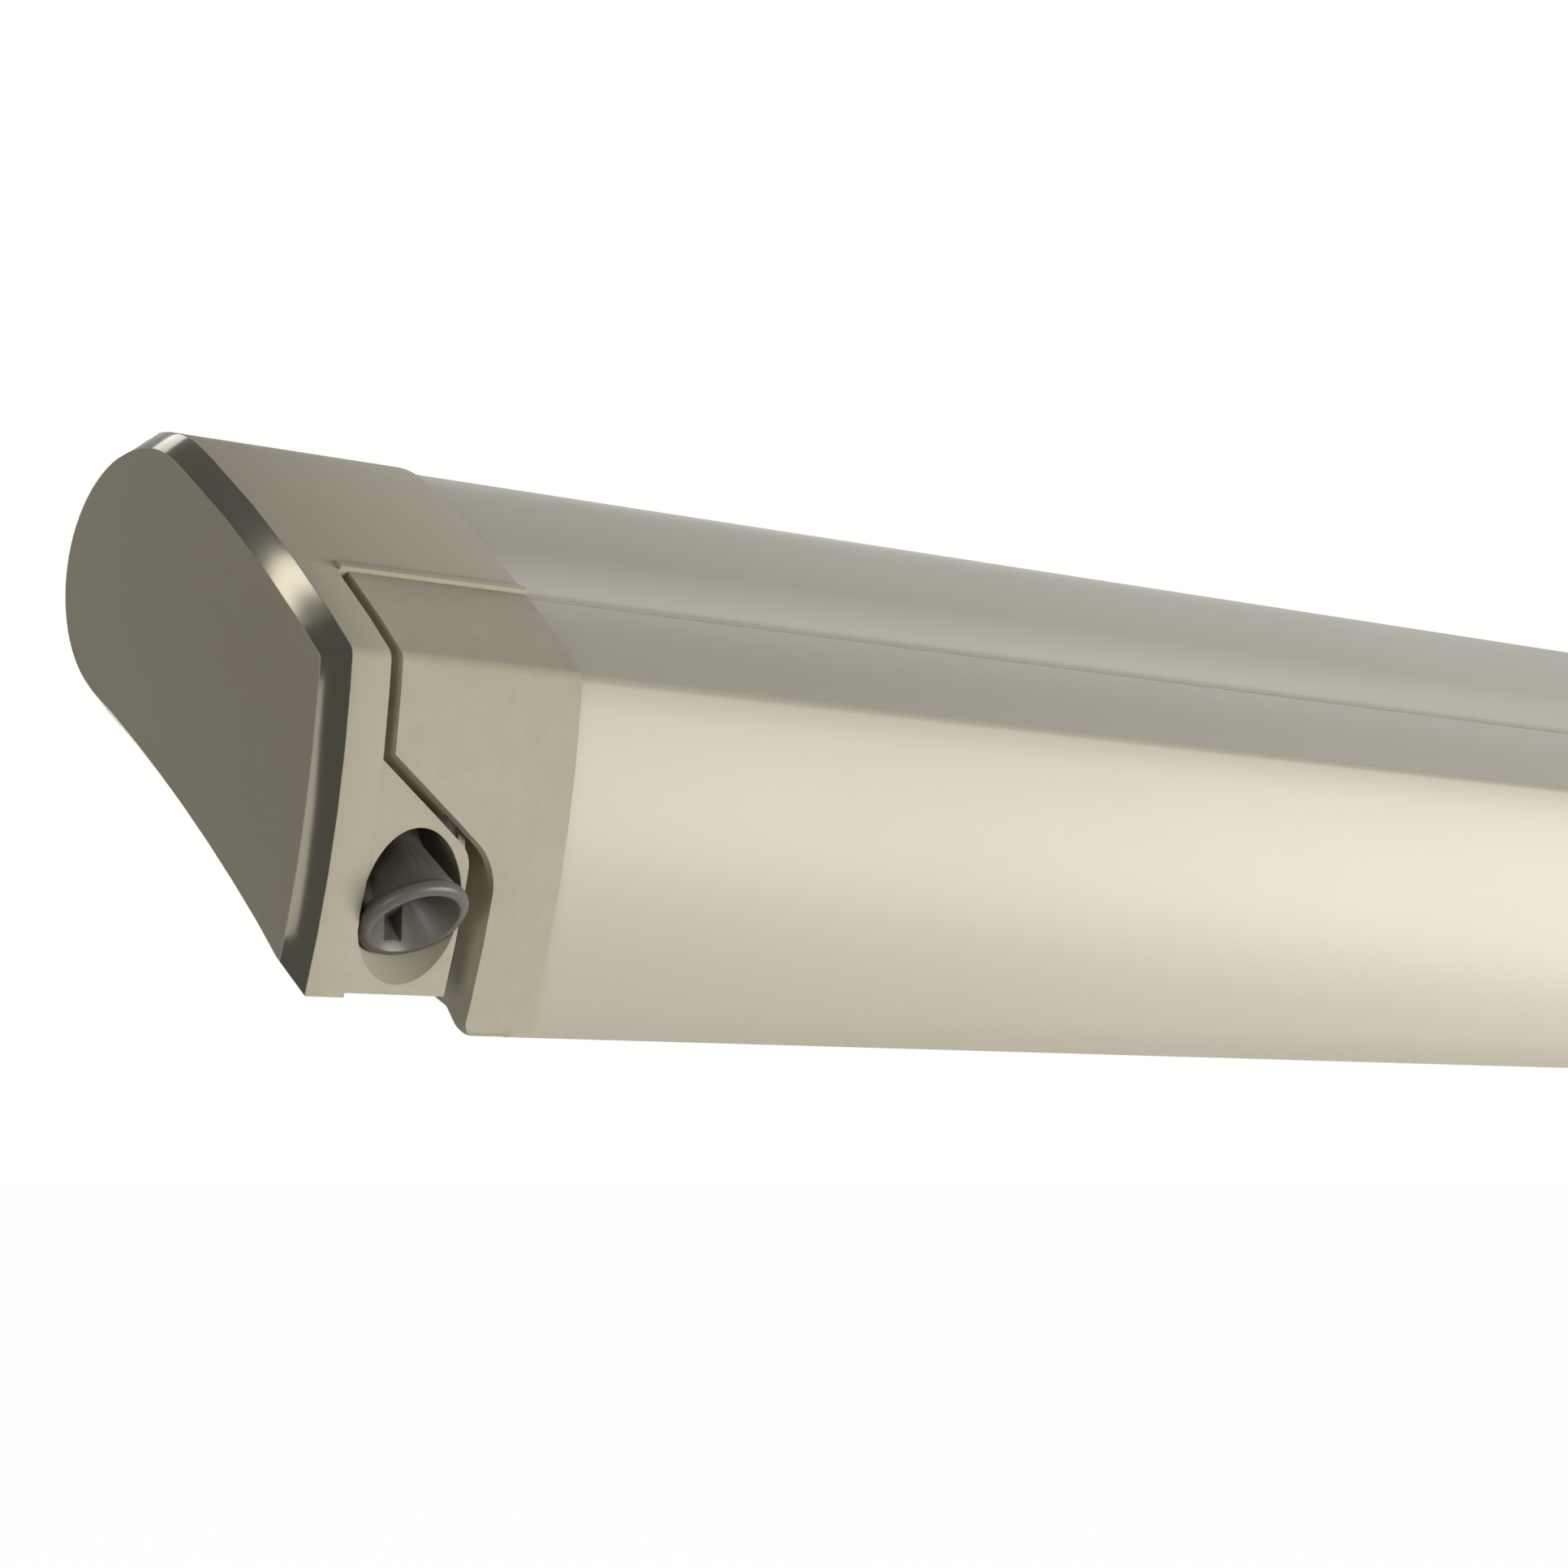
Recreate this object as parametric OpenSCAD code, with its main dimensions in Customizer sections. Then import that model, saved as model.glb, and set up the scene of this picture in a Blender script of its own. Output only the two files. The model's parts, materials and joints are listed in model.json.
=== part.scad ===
// Cassette roll out awning for a caravan or camper.
// Model frame: +X runs along the awning, -Y is the side that opens, +Z is up. The origin is the
// middle of the sloped seat under the housing.
// Section frame: x runs back from the crease of the front panel, y runs up from it.
// Left is the crank end, at -X. Right-hand pieces are mirrored from the left ones.

/* [Overall] */
// Length over both end caps
awning_length = 2600; // [2400:10:3200]
// Slope of the plane in which the arms open, down to the front
arm_pitch = 8; // [4:1:10]

/* [Section] */
// Distance of the roller axis behind the crease
back_y = 103.4; // [101:0.2:106]
// Height of the roller axis above the crease
back_z = 31.5; // [30:0.1:33]
// Outer radius of the round back
back_r = 44.2; // [43.4:0.1:46]
// Radius of the sloped brow above the crease
brow_r = 515; // [450:5:700]
// Radius of the curved front panel below the crease
panel_r = 335; // [300:5:420]
// Distance of the end cap's lower tip behind the crease
tip_y = 21.2; // [20:0.2:23]
// Depth of the end cap's lower tip below the crease
tip_z = 95.3; // [94:0.1:97]
// Hollow of the end cap's underside
belly_sag = 3.5; // [1:0.1:4]
// Radius of the crease
crease_r = 5; // [3:0.1:6]
// Angle below level at which the underside meets the round back
belly_angle = 53; // [51:0.5:55]

/* [Housing] */
// Step from the end caps down to the housing and the lead rail
skin_inset = 1.4; // [1.2:0.1:1.6]
// Wall of the housing and of the lead rail
skin_wall = 2; // [1.6:0.1:2.2]
// Distance of the seam behind the crease
seam_y = 28; // [27:0.1:29]
// Gap at the seam
seam_gap = 1.1; // [1:0.05:1.4]
// Depth of the lip at the seam
lip_depth = 9; // [8.5:0.1:9.4]
// Width of the lip at the seam
lip_width = 9; // [8:0.1:10]
// Inset of the flat seat from the end cap's underside
seat_inset = 5; // [4.8:0.1:5.4]
// Thickness of the seat
seat_thick = 8; // [7.5:0.1:8.4]
// Distance from the tip to the seat's lower edge
seat_start = 74; // [73:0.5:76]
// Distance from the tip to the seat's upper edge
seat_end = 121; // [119:0.5:122]
// Distance from the tip to the lower T-slot
slot_first = 84; // [83:0.5:86]
// Distance between the two T-slots
slot_pitch = 27; // [25:0.5:28]
// Mouth of a T-slot
slot_mouth = 6.4; // [5:0.1:8]
// Width of a T-slot's channel
slot_width = 10.8; // [10:0.1:12]
// Height of a T-slot's channel
slot_height = 3.4; // [3:0.1:4]
// Lip on both sides of a T-slot's mouth
slot_lip = 2; // [1.6:0.1:2.4]
// Self-tapping screw's core radius
screw_core = 2; // [1.6:0.1:2.2]

/* [End caps] */
// Length of an end cap
cap_length = 88; // [84:0.5:92]
// Wall of an end cap
cap_wall = 3; // [2.6:0.1:3.4]
// Depth of the edge chamfer along the awning
chamfer_x = 7; // [5:0.1:8]
// Depth of the edge chamfer across the face
chamfer_in = 5.8; // [4:0.1:7]
// Width of the closed rim beside the lead rail
rim_width = 20; // [18:0.1:22]
// Groove between the rim and the lead rail's end cap
groove = 4; // [3:0.1:5]
// Overlap of a cap on the profiles
cap_overlap = 6; // [4:0.1:8]
// Fit between a cap and a profile
cap_fit = 0.2; // [0.1:0.05:0.3]
// Depth of the recess that takes the lead rail's end cap
recess = 12; // [11:0.1:13]
// Height of the drip lip above the seam
drip_h = 1.3; // [0.8:0.1:1.6]
// Width of the drip lip above the seam
drip_w = 2.4; // [1.8:0.1:3]
// Edge of the boss, from the end face
boss_width = 55; // [54:0.5:56]
// Step of the boss behind the rim
boss_step = 0.8; // [0.4:0.1:1.2]

/* [Crank] */
// Distance of the crank axis from the end face
crank_x = 37; // [36.6:0.1:37.4]
// Slope of the crank axis from upright
crank_tilt = 33; // [32.6:0.1:33.4]
// Distance of the eye's mouth behind the crease
eye_y = 10.8; // [10.4:0.1:11.4]
// Depth of the eye's mouth below the crease
eye_z = 74.5; // [74:0.1:75]
// Diameter of the eye's rim
eye_rim_d = 33; // [32:0.1:33.2]
// Diameter of the bore round the eye
eye_bore_d = 34.6; // [34.4:0.1:35.4]
// Diameter of the eye's neck
eye_neck_d = 20; // [18:0.5:21]
// Height of the eye's cone
eye_cone_h = 22; // [20:0.5:24]
// Length of the eye
eye_length = 38; // [36:0.5:40]
// Diameter of the worm shaft
shaft_d = 10; // [9:0.1:10.4]

/* [Winch] */
// Module of the worm drive
gear_module = 1.8; // [1.75:0.01:1.85]
// Teeth of the worm wheel
wheel_teeth = 15; // [15:1:15]
// Starts of the worm
worm_starts = 2; // [2:1:2]
// Width of the worm wheel
wheel_width = 8; // [6:0.5:9]
// Length of the worm's thread
worm_length = 24; // [20:1:26]
// Wall of the gear casing
casing_wall = 3; // [2.5:0.1:3.4]
// Diameter of the roller shaft
roller_shaft_d = 16; // [14:0.2:17]
// Diameter of the idler axle
idler_d = 12; // [10:0.2:14]
// Running clearance of shafts and pins
run_gap = 0.05; // [0.02:0.01:0.09]

/* [Roller and fabric] */
// Diameter of the roller tube
roller_d = 63; // [60:0.5:64]
// Wall of the roller tube
roller_wall = 1.5; // [1.2:0.1:3]
// Diameter of the rolled fabric
roll_d = 72; // [70:0.5:73]
// Distance from the end face to the roller tube
roller_inset = 92; // [90:0.5:96]
// Distance from the end face to the fabric's edge
fabric_inset = 104; // [100:0.5:110]
// Thickness of the fabric as a solid
fabric_t = 0.6; // [0.4:0.05:0.8]
// Diameter of the keder rod
keder_d = 6; // [5.5:0.1:6.2]
// Outer diameter of the keder tube in the lead rail
keder_tube_d = 9.4; // [9:0.1:9.8]

/* [Arms] */
// Distance from the end face to the shoulder pivot
shoulder_inset = 130; // [126:1:150]
// Distance of the shoulder pivot behind the crease
shoulder_y = 64; // [63.5:0.1:65]
// Depth of the shoulder pivot below the crease
shoulder_z = 14; // [13.5:0.1:15]
// Distance of an elbow pivot from the middle
elbow_x = 60; // [45:1:90]
// Width of an arm
arm_w = 18; // [16:0.1:18.6]
// Height of an arm
arm_h = 36; // [30:0.5:36.4]
// Wall of an arm
arm_wall = 2; // [1.6:0.1:2.6]
// Gap between the folded arms
arm_gap = 4; // [3.4:0.1:4.4]
// Diameter of the arm pins
arm_pin_d = 10; // [8:0.1:10.6]
// Thickness of a bracket's ears
ear_t = 4; // [3:0.1:4.2]
// Side play of a knuckle between its ears
ear_play = 0.3; // [0.2:0.05:0.4]

/* [Lead rail] */
// Depth of the lead rail's lower edge below the crease
rail_low = 104.7; // [104:0.1:106]
// Depth of the web over the legs below the crease
web_z = 43; // [42.6:0.1:44]
// Distance of the first leg's middle behind the crease
leg_front_y = 39.5; // [39.2:0.1:40]
// Distance between the middles of the two legs
leg_pitch = 23; // [22.6:0.1:23.2]
// Drop from the rear leg to the front leg
leg_drop = 17; // [15:0.5:19]

/* [Legs] */
// Width of a leg's outer tube
leg_w = 20; // [18:0.1:20.2]
// Height of a leg's outer tube
leg_h = 24; // [20:0.1:24.2]
// Wall of a leg's outer tube
leg_wall = 1.6; // [1.2:0.1:2]
// Length of a leg's outer tube
leg_length = 1240; // [1000:10:1260]
// Distance from the end face to a leg's hinge
leg_inset = 112; // [110:0.5:120]
// Distance from a leg's hinge to the hidden end of its inner tube
leg_inner_start = 84; // [40:1:400]
// Fit between the tubes of a leg
leg_fit = 0.3; // [0.2:0.05:0.5]
// Diameter of a leg's pin
leg_pin_d = 6; // [5:0.1:8]

/* [Hidden] */

// Fineness of round solids
$fn = 48;
// A cut runs this far past a face
over = 1;
// A cut into the section starts this far outside it
clear_out = 30;
// Height of the mouth's corner above the rail's web
mouth_h = 45;
// The front arcs bend at every multiple of this angle
arc_step = 3;
// The end face's straight edge before the chamfer starts
land = 0.3;
// Larger than the section
far = 400;
cream = [0.85, 0.82, 0.75];
olive = [0.62, 0.61, 0.55];
anthracite = [0.25, 0.25, 0.24];
alloy = [0.75, 0.76, 0.77];
zinc = [0.62, 0.63, 0.65];
cloth = [0.66, 0.68, 0.70];
rubber = [0.12, 0.12, 0.12];

// Geometry of the section outline
function unit(v) = v / norm(v);
function polar(c, r, a) = c + r * [cos(a), sin(a)];
function heading(v) = (atan2(v[1], v[0]) + 360) % 360;
function arc(c, r, a0, a1, n) = [for (i = [0:n]) polar(c, r, a0 + (a1 - a0) * i / n)];
function reversed(p) = [for (i = [len(p) - 1:-1:0]) p[i]];
function rest(p) = [for (i = [1:len(p) - 1]) p[i]];
// The crossing of two circles that lies to the left of the way from a to b
function crossing(a, ra, b, rb) =
    let (d = norm(b - a), u = (b - a) / d, x = (ra * ra - rb * rb + d * d) / (2 * d),
         h = sqrt(max(ra * ra - x * x, 0)))
    a + x * u + h * [-u[1], u[0]];

roller = [back_y, back_z];
tip = [tip_y, -tip_z];
belly_end = polar(roller, back_r, -belly_angle);
belly_dir = unit(belly_end - tip);
belly_in = [-belly_dir[1], belly_dir[0]];
panel_mid = tip / 2;
panel_dir = unit(tip);
panel_c = panel_mid + [-panel_dir[1], panel_dir[0]] * sqrt(panel_r * panel_r - pow(norm(tip) / 2, 2));
brow_c = crossing(roller, brow_r - back_r, [0, 0], brow_r);
brow_end = heading(roller - brow_c);
tip_up = unit([-(tip - panel_c)[1], (tip - panel_c)[0]]) * -1;
tip_half = acos(tip_up * belly_dir) / 2;
tip_bisector = unit(tip_up + belly_dir);
function tip_at(inset) = tip + tip_bisector * inset / sin(tip_half);
function round_r(inset) = max(crease_r - inset / 2, 2);
function round_c(inset) = crossing(brow_c, brow_r - inset - round_r(inset),
                                   panel_c, panel_r - inset - round_r(inset));
function panel_end(z) = 180 + asin((panel_c[1] - z) / panel_r);
// The two front arcs always bend at the same angles, and a cut end lies on the straight piece there
function on_bend(c, r, a) =
    let (k = floor(a / arc_step), f = a / arc_step - k)
    (1 - f) * polar(c, r, k * arc_step) + f * polar(c, r, (k + 1) * arc_step);
function bent_arc(c, r, from, to) =
    concat([on_bend(c, r, from)],
           [for (k = [floor(from / arc_step) + 1:ceil(to / arc_step) - 1]) polar(c, r, k * arc_step)],
           [on_bend(c, r, to)]);
function front_arcs(inset, a_top, a_low) =
    let (c = round_c(inset), a = heading(c - brow_c), b = heading(c - panel_c))
    concat(bent_arc(brow_c, brow_r - inset, a_top, a), rest(arc(c, round_r(inset), a, b, 6)),
           rest(bent_arc(panel_c, panel_r - inset, b, a_low)));
function belly(inset) =
    let (a = tip_at(inset), b = polar(roller, back_r - inset, -belly_angle))
    [for (i = [1:7]) a + (b - a) * i / 8 + belly_in * 4 * belly_sag * i / 8 * (1 - i / 8)];
function outline(inset) =
    concat(arc(roller, back_r - inset, -belly_angle, brow_end, 36),
           rest(front_arcs(inset, brow_end, heading(tip_at(inset) - panel_c))), belly(inset));

// The seam: direction across it, direction into the section, and the places along both
seam_angle = 180 - acos((brow_c[0] - seam_y) / (brow_r - skin_inset));
seam = polar(brow_c, brow_r - skin_inset, seam_angle);
seam_in = unit(brow_c - seam);
seam_back = [-seam_in[1], seam_in[0]];
function at_seam(t, n) = seam + t * seam_back + n * seam_in;
seam_turn = atan2(seam_back[1], seam_back[0]);
lip_front = seam_gap - 0.3;

// The fabric's way from the keder tube in the lead rail to the top of the roll
keder_at = at_seam(2.2, 17);
roll_reach = roll_d / 2 + fabric_t / 2 + 0.1;
leave = polar(roller, roll_reach, heading(keder_at - roller) - acos(roll_reach / norm(keder_at - roller)));
run_dir = unit(leave - keder_at);
hem_start = keder_at + (keder_d / 2 + 0.4) * run_dir;
hem_end = keder_at + 8.4 * run_dir;

// The seat on the housing's underside
function at_belly(along, inset) = tip + along * belly_dir + inset * belly_in;
seat_mid = at_belly((seat_start + seat_end) / 2, seat_inset);
belly_turn = atan2(belly_dir[1], belly_dir[0]);
slots = [slot_first, slot_first + slot_pitch];

// The legs, the web over them and the walls beside them
leg_play = 0.5;
leg_wall_t = 2;
leg_y = [leg_front_y, leg_front_y + leg_pitch];
leg_top = web_z + skin_wall + 2;
leg_z = [-(leg_top + leg_h / 2 + leg_drop), -(leg_top + leg_h / 2)];
foot_back = leg_y[1] + leg_w / 2 + leg_play + leg_wall_t;
mouth_y = foot_back + 1.5;

// Places along the awning, measured from the left end face
half = awning_length / 2;
profile_x = cap_length - cap_overlap;
rail_cap_x = rim_width + groove;

// The crank axis and the worm drive
crank_dir = [sin(crank_tilt), cos(crank_tilt)];
eye_mouth = [eye_y, -eye_z];
worm_along = (roller - eye_mouth) * crank_dir;
worm_mid = eye_mouth + worm_along * crank_dir;
worm_centre = norm(roller - worm_mid);
wheel_r = gear_module * wheel_teeth / 2;
worm_r = worm_centre - wheel_r;
tooth_out = 0.85 * gear_module;
tooth_in = 1.1 * gear_module;
worm_lead = PI * gear_module * worm_starts;
worm_angle = atan(worm_lead / (2 * PI * worm_r));

// The arms, in their own frame: x along the awning from the shoulder, -y to the front
pivot_step = arm_w + arm_gap;
arm_length = norm([half - shoulder_inset - elbow_x, pivot_step]);
elbow_at = half - shoulder_inset - elbow_x;
knuckle_r = arm_w / 2 + 0.5;
knuckle_h = 28;
tube_start = 30;
spigot = 25;
spigot_fit = 0.2;

module bar(from, to) translate([from, 0, 0]) rotate([90, 0, 90]) linear_extrude(to - from) children();
// Puts a section-frame shape into the model frame
module seated() translate([0, -seat_mid[0], -seat_mid[1]]) children();
module from_left() translate([-half, 0, 0]) children();
module right_hand() mirror([1, 0, 0]) children();
module rounded(w, h, r) {
    square([w - 2 * r, h], center = true);
    square([w, h - 2 * r], center = true);
    for (a = [-1, 1], b = [-1, 1]) translate([a * (w / 2 - r), b * (h / 2 - r)]) circle(r);
}
module ring(inset, wall) difference() {
    polygon(outline(inset));
    polygon(outline(inset + wall));
}

// The opening between housing and lead rail, as the part of the section in front of the housing
module mouth(gap) polygon([at_seam(gap, -clear_out), at_seam(gap, clear_out), [mouth_y, -web_z + mouth_h],
                           [mouth_y, -far], [-far, -far], [-far, far / 4]]);
module seam_strip(t0, t1, n0, n1)
    translate(seam) rotate(seam_turn) translate([t0, -n1]) square([t1 - t0, n1 - n0]);
module belly_strip(a0, a1, n0, n1)
    translate(tip) rotate(belly_turn) translate([a0, n0]) square([a1 - a0, n1 - n0]);

module housing_section() {
    difference() {
        union() {
            difference() {
                union() {
                    ring(skin_inset, skin_wall);
                    seam_strip(lip_front - over, lip_front + lip_width, skin_wall / 4, lip_depth);
                }
                translate(tip) rotate(belly_turn) translate([0, -over]) square([seat_end, seat_inset + over]);
                mouth(lip_front);
            }
            intersection() {
                difference() {
                    belly_strip(seat_start, seat_end, seat_inset, seat_inset + seat_thick);
                    for (a = slots) {
                        belly_strip(a - slot_mouth / 2, a + slot_mouth / 2, 0, seat_inset + slot_lip + slot_height);
                        belly_strip(a - slot_width / 2, a + slot_width / 2, seat_inset + slot_lip,
                                    seat_inset + slot_lip + slot_height);
                    }
                }
                translate([mouth_y, -far]) square(2 * far);
            }
        }
        for (p = plate_screw_at) translate(p) circle(screw_core);
    }
}
plate_screw_at = [at_seam(lip_front + lip_width / 2, lip_depth / 2 + 0.9),
                  at_belly(slots[0] + 9.5, seat_inset + seat_thick / 2 + 0.9)];
module housing_profile() color(cream) seated() difference() {
    bar(profile_x - half, half - profile_x) housing_section();
    for (m = [0, 1]) mirror([m, 0, 0]) from_left() bracket_screw_place() bracket_screw_shank(screw_core);
}

module seam_seal() color(rubber) seated()
    bar(cap_length - half, half - cap_length) seam_strip(lip_front - 0.7, lip_front, 2, 7);

// End plates: cast plates that close the housing's ends and carry the roller
plate_t = 5;
plate_x = profile_x - plate_t;
bush_wall = 2.5;
// Lugs on the end plates take the screws that hold the caps, put in from underneath
lug_x = 9;
lug_w = 10;
cap_screw_along = [84, 112];
cap_screw_l = 15;
module cap_screw_place() for (a = cap_screw_along)
    translate([plate_x - lug_x / 2, at_belly(a, 1)[0], at_belly(a, 1)[1]]) rotate([belly_turn, 0, 0]) children();
module plate_section() {
    difference() {
        polygon(outline(cap_wall + cap_fit + 0.6));
        mouth(recess + 5);
        belly_strip(0, seat_end, 0, seat_inset + 0.4);
    }
}
module end_plate(bore_r) difference() {
    union() {
        bar(plate_x, profile_x) plate_section();
        bar(plate_x - lug_x, plate_x + 0.5) intersection() {
            plate_section();
            for (a = cap_screw_along) belly_strip(a - lug_w / 2, a + lug_w / 2, 0, 18);
        }
    }
    cap_screw_place() cylinder(r = screw_core, h = cap_screw_l);
    translate([plate_x - over, roller[0], roller[1]]) rotate([0, 90, 0])
        cylinder(r = bore_r, h = plate_t + 2 * over);
    for (p = plate_screw_at) translate([plate_x - over, p[0], p[1]]) rotate([0, 90, 0])
        cylinder(r = screw_core + 0.4, h = plate_t + 2 * over);
}
module end_plate_left() color(zinc) seated() from_left() end_plate(roller_shaft_d / 2 + run_gap + bush_wall);
module end_plate_right() color(zinc) seated() right_hand() from_left() end_plate(idler_d / 2);
module plate_screws() color(alloy) seated() for (m = [0, 1]) mirror([m, 0, 0]) from_left()
    for (p = plate_screw_at) translate([plate_x - 2.6, p[0], p[1]]) rotate([0, 90, 0]) {
        cylinder(r = 3.2, h = 2.6);
        cylinder(r = screw_core, h = 2.6 + plate_t + 14);
    }
module roller_bush() color(anthracite) seated() from_left()
    translate([plate_x, roller[0], roller[1]]) rotate([0, 90, 0]) difference() {
        cylinder(r = roller_shaft_d / 2 + run_gap + bush_wall, h = plate_t);
        translate([0, 0, -over]) cylinder(r = roller_shaft_d / 2 + run_gap, h = plate_t + 2 * over);
    }

// The front of the section, between two insets of the outline, from the seam down to an angle
module front_band(from, to, low)
    polygon(concat(front_arcs(from, seam_angle, low), reversed(front_arcs(to, seam_angle, low))));
module along_y(from, to) translate([0, to, 0]) rotate([90, 0, 0]) linear_extrude(to - from) children();
tip_angle = heading(tip - panel_c);
low_angle = panel_end(-rail_low + 1);
inner_wall = 2.5;

// The slanting edge between boss and lead rail cap, seen from the front
diag_z = -28;
diag_fall = 0.7;
notch_gap = 9.5;
notch_x = boss_width + notch_gap;
corner_r = 18;
function diag_at(x, gap) = diag_z - diag_fall * (x - rail_cap_x) - gap;
module below_diagonal(side, gap, r = corner_r) {
    slope = atan(diag_fall);
    c = [side - r, diag_at(side - r, gap) - r / cos(slope)];
    polygon(concat([[rim_width - over, -far], [side, -far]], arc(c, r, 0, 90 - slope, 10),
                   [[rim_width - over, diag_at(rim_width - over, gap)]]));
}

// End cap: outer shell, closed end, recess for the lead rail's cap, and the boss round the crank
module belly_bow(inset) {
    a = tip_at(inset);
    b = polar(roller, back_r - inset, -belly_angle);
    polygon(concat([a - land * belly_in], belly(inset), [b - land * belly_in]));
}
module cap_solid() difference() {
    hull() {
        bar(0, land) polygon(outline(chamfer_in));
        bar(chamfer_x, cap_length) polygon(outline(0));
    }
    hull() {
        bar(-over, land) belly_bow(chamfer_in);
        bar(chamfer_x - over, chamfer_x) belly_bow(0);
    }
    bar(chamfer_x - over, cap_length + over) belly_bow(0);
}
module cap_shell() difference() {
    cap_solid();
    bar(cap_wall, chamfer_x + 2) polygon(outline(chamfer_in + 1));
    bar(chamfer_x + 1, profile_x + over) polygon(outline(cap_wall));
    bar(profile_x, cap_length + over) polygon(outline(skin_inset - cap_fit));
    bar(rim_width, cap_length + over) front_band(-clear_out, recess, tip_angle + 8);
    bar(boss_width - over, cap_length + over) polygon([[-far, -web_z + inner_wall], [mouth_y, -web_z + inner_wall],
                                                [mouth_y, -far], [-far, -far]]);
    // The skirt stays off the housing's mounting seat
    bar(profile_x - cap_fit, cap_length + over) belly_strip(seat_start - cap_fit, seat_end + cap_fit,
                                                            -clear_out, seat_inset + cap_wall);
}
module cap_walls() {
    bar(rim_width - inner_wall, rim_width) front_band(0.5, recess + inner_wall, tip_angle);
    bar(rim_width - over, profile_x - plate_t - 0.5) intersection() {
        front_band(recess, recess + inner_wall, tip_angle);
        translate([-far, -web_z]) square(2 * far);
    }
    bar(boss_width - inner_wall, profile_x - plate_t - 0.5) intersection() {
        polygon(outline(cap_wall - 0.5));
        translate([recess - 1, -web_z]) square([mouth_y - recess + 1, inner_wall]);
    }
    bar(boss_width - inner_wall, profile_x - plate_t - 0.5) intersection() {
        polygon(outline(cap_wall - 0.5));
        translate([mouth_y, -far]) square([inner_wall, far - web_z + inner_wall]);
    }
    bar(boss_width - inner_wall, boss_width) intersection() {
        polygon(outline(1));
        union() {
            translate([recess, -far]) square([mouth_y + 1 - recess, far - web_z + inner_wall]);
            translate([0, -far]) square([recess + 1, far + diag_at(boss_width, groove) - 3]);
        }
    }
}
module crank_place() translate([crank_x, eye_mouth[0], eye_mouth[1]]) rotate([-crank_tilt, 0, 0]) children();
module boss() intersection() {
    bar(rim_width - 0.5, boss_width) polygon(outline(boss_step));
    union() {
        bar(rim_width - 0.5, boss_width) front_band(0, recess + inner_wall, tip_angle);
        crank_place() translate([0, 0, -clear_out]) cylinder(r = eye_bore_d / 2 + inner_wall, h = clear_out + eye_length + 6);
    }
    along_y(-far, far) below_diagonal(boss_width, groove, corner_r - notch_gap);
}
module cap_with_boss() difference() {
    union() {
        cap_shell();
        cap_walls();
        boss();
    }
    crank_place() {
        translate([0, 0, -clear_out - over]) cylinder(r = eye_bore_d / 2, h = clear_out + over + eye_length + 2);
        cylinder(r = shaft_d / 2 + 1, h = worm_along - worm_length);
    }
}
module drip_lip() bar(rim_width + 1, cap_length) intersection() {
    seam_strip(0.2, 0.2 + drip_w, -drip_h - skin_inset, -0.4);
    translate([-far, 0]) square(2 * far);
}
module cap_cuts() cap_screw_place() {
    cylinder(r = screw_core + 0.4, h = 9);
    translate([0, 0, -3]) cylinder(r = 4.2, h = 3 + 2.4);
}
module end_cap_left() color(olive) seated() from_left() difference() {
    union() {
        cap_with_boss();
        drip_lip();
    }
    cap_cuts();
}
module end_cap_right() color(olive) seated() right_hand() from_left() difference() {
    union() {
        cap_shell();
        cap_walls();
        boss();
        drip_lip();
    }
    cap_cuts();
}

// Lead rail: the front panel with its leg channels, extruded in one piece
foot_low = [tip_y + 3.6, -rail_low];
foot_solid = 97;
channel_lip = 3;
chamber_y = leg_y[0] - leg_w / 2 - leg_play;
wall_y = leg_y[0] + leg_w / 2 + leg_play;
shelf_z = leg_z[0] + leg_h / 2 + 2.6;
module lead_rail_section() {
    difference() {
        polygon(concat(front_arcs(skin_inset, seam_angle, panel_end(-rail_low - 2)),
            [[chamber_y, -rail_low - 2], [chamber_y, -foot_solid]],
            reversed(front_arcs(skin_inset + skin_wall, seam_angle, panel_end(-foot_solid)))));
        translate([-far, -rail_low - far]) square([2 * far, far]);
    }
    translate([chamber_y - leg_wall_t, -foot_solid - 1]) square([leg_wall_t, foot_solid - web_z]);
    difference() {
        union() {
            seam_strip(-2.3, -0.3, 0.6, 14);
            translate(keder_at) circle(keder_tube_d / 2);
        }
        translate(keder_at) circle(keder_d / 2 + run_gap);
        translate(keder_at) rotate(heading(run_dir)) translate([0, -0.7]) square([keder_tube_d, 1.4]);
    }
    intersection() {
        polygon(concat(front_arcs(skin_inset + 0.5, seam_angle, low_angle),
                       [[foot_back, -rail_low], [foot_back, 20]]));
        translate([0, -web_z - skin_wall]) square([foot_back, skin_wall]);
    }
    translate([wall_y, leg_z[0] - leg_h / 2 - channel_lip])
        square([leg_wall_t, -web_z - leg_z[0] + leg_h / 2 + channel_lip - 1]);
    translate([chamber_y - 0.5, shelf_z]) square([leg_w + 2 * leg_play + 1, skin_wall]);
    translate([foot_back - leg_wall_t, leg_z[1] - leg_h / 2 - channel_lip])
        square([leg_wall_t, -web_z - 1 - leg_z[1] + leg_h / 2 + channel_lip]);
}
module lead_rail() color(cream) seated() difference() {
    bar(profile_x - half, half - profile_x) lead_rail_section();
    leg_pin_bore(0, leg_pin_d / 2);
    right_hand() leg_pin_bore(1, leg_pin_d / 2);
}
module leg_pin_bore(k, r) translate([leg_inset - half, leg_y[k] - leg_w / 2 - leg_play - leg_wall_t - over, leg_z[k]])
    rotate([-90, 0, 0]) cylinder(r = r, h = leg_w + 2 * leg_play + 2 * leg_wall_t + 2 * over);
module keder_rod() color(rubber) seated() bar(fabric_inset - half, half - fabric_inset)
    translate(keder_at) circle(keder_d / 2);

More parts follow.
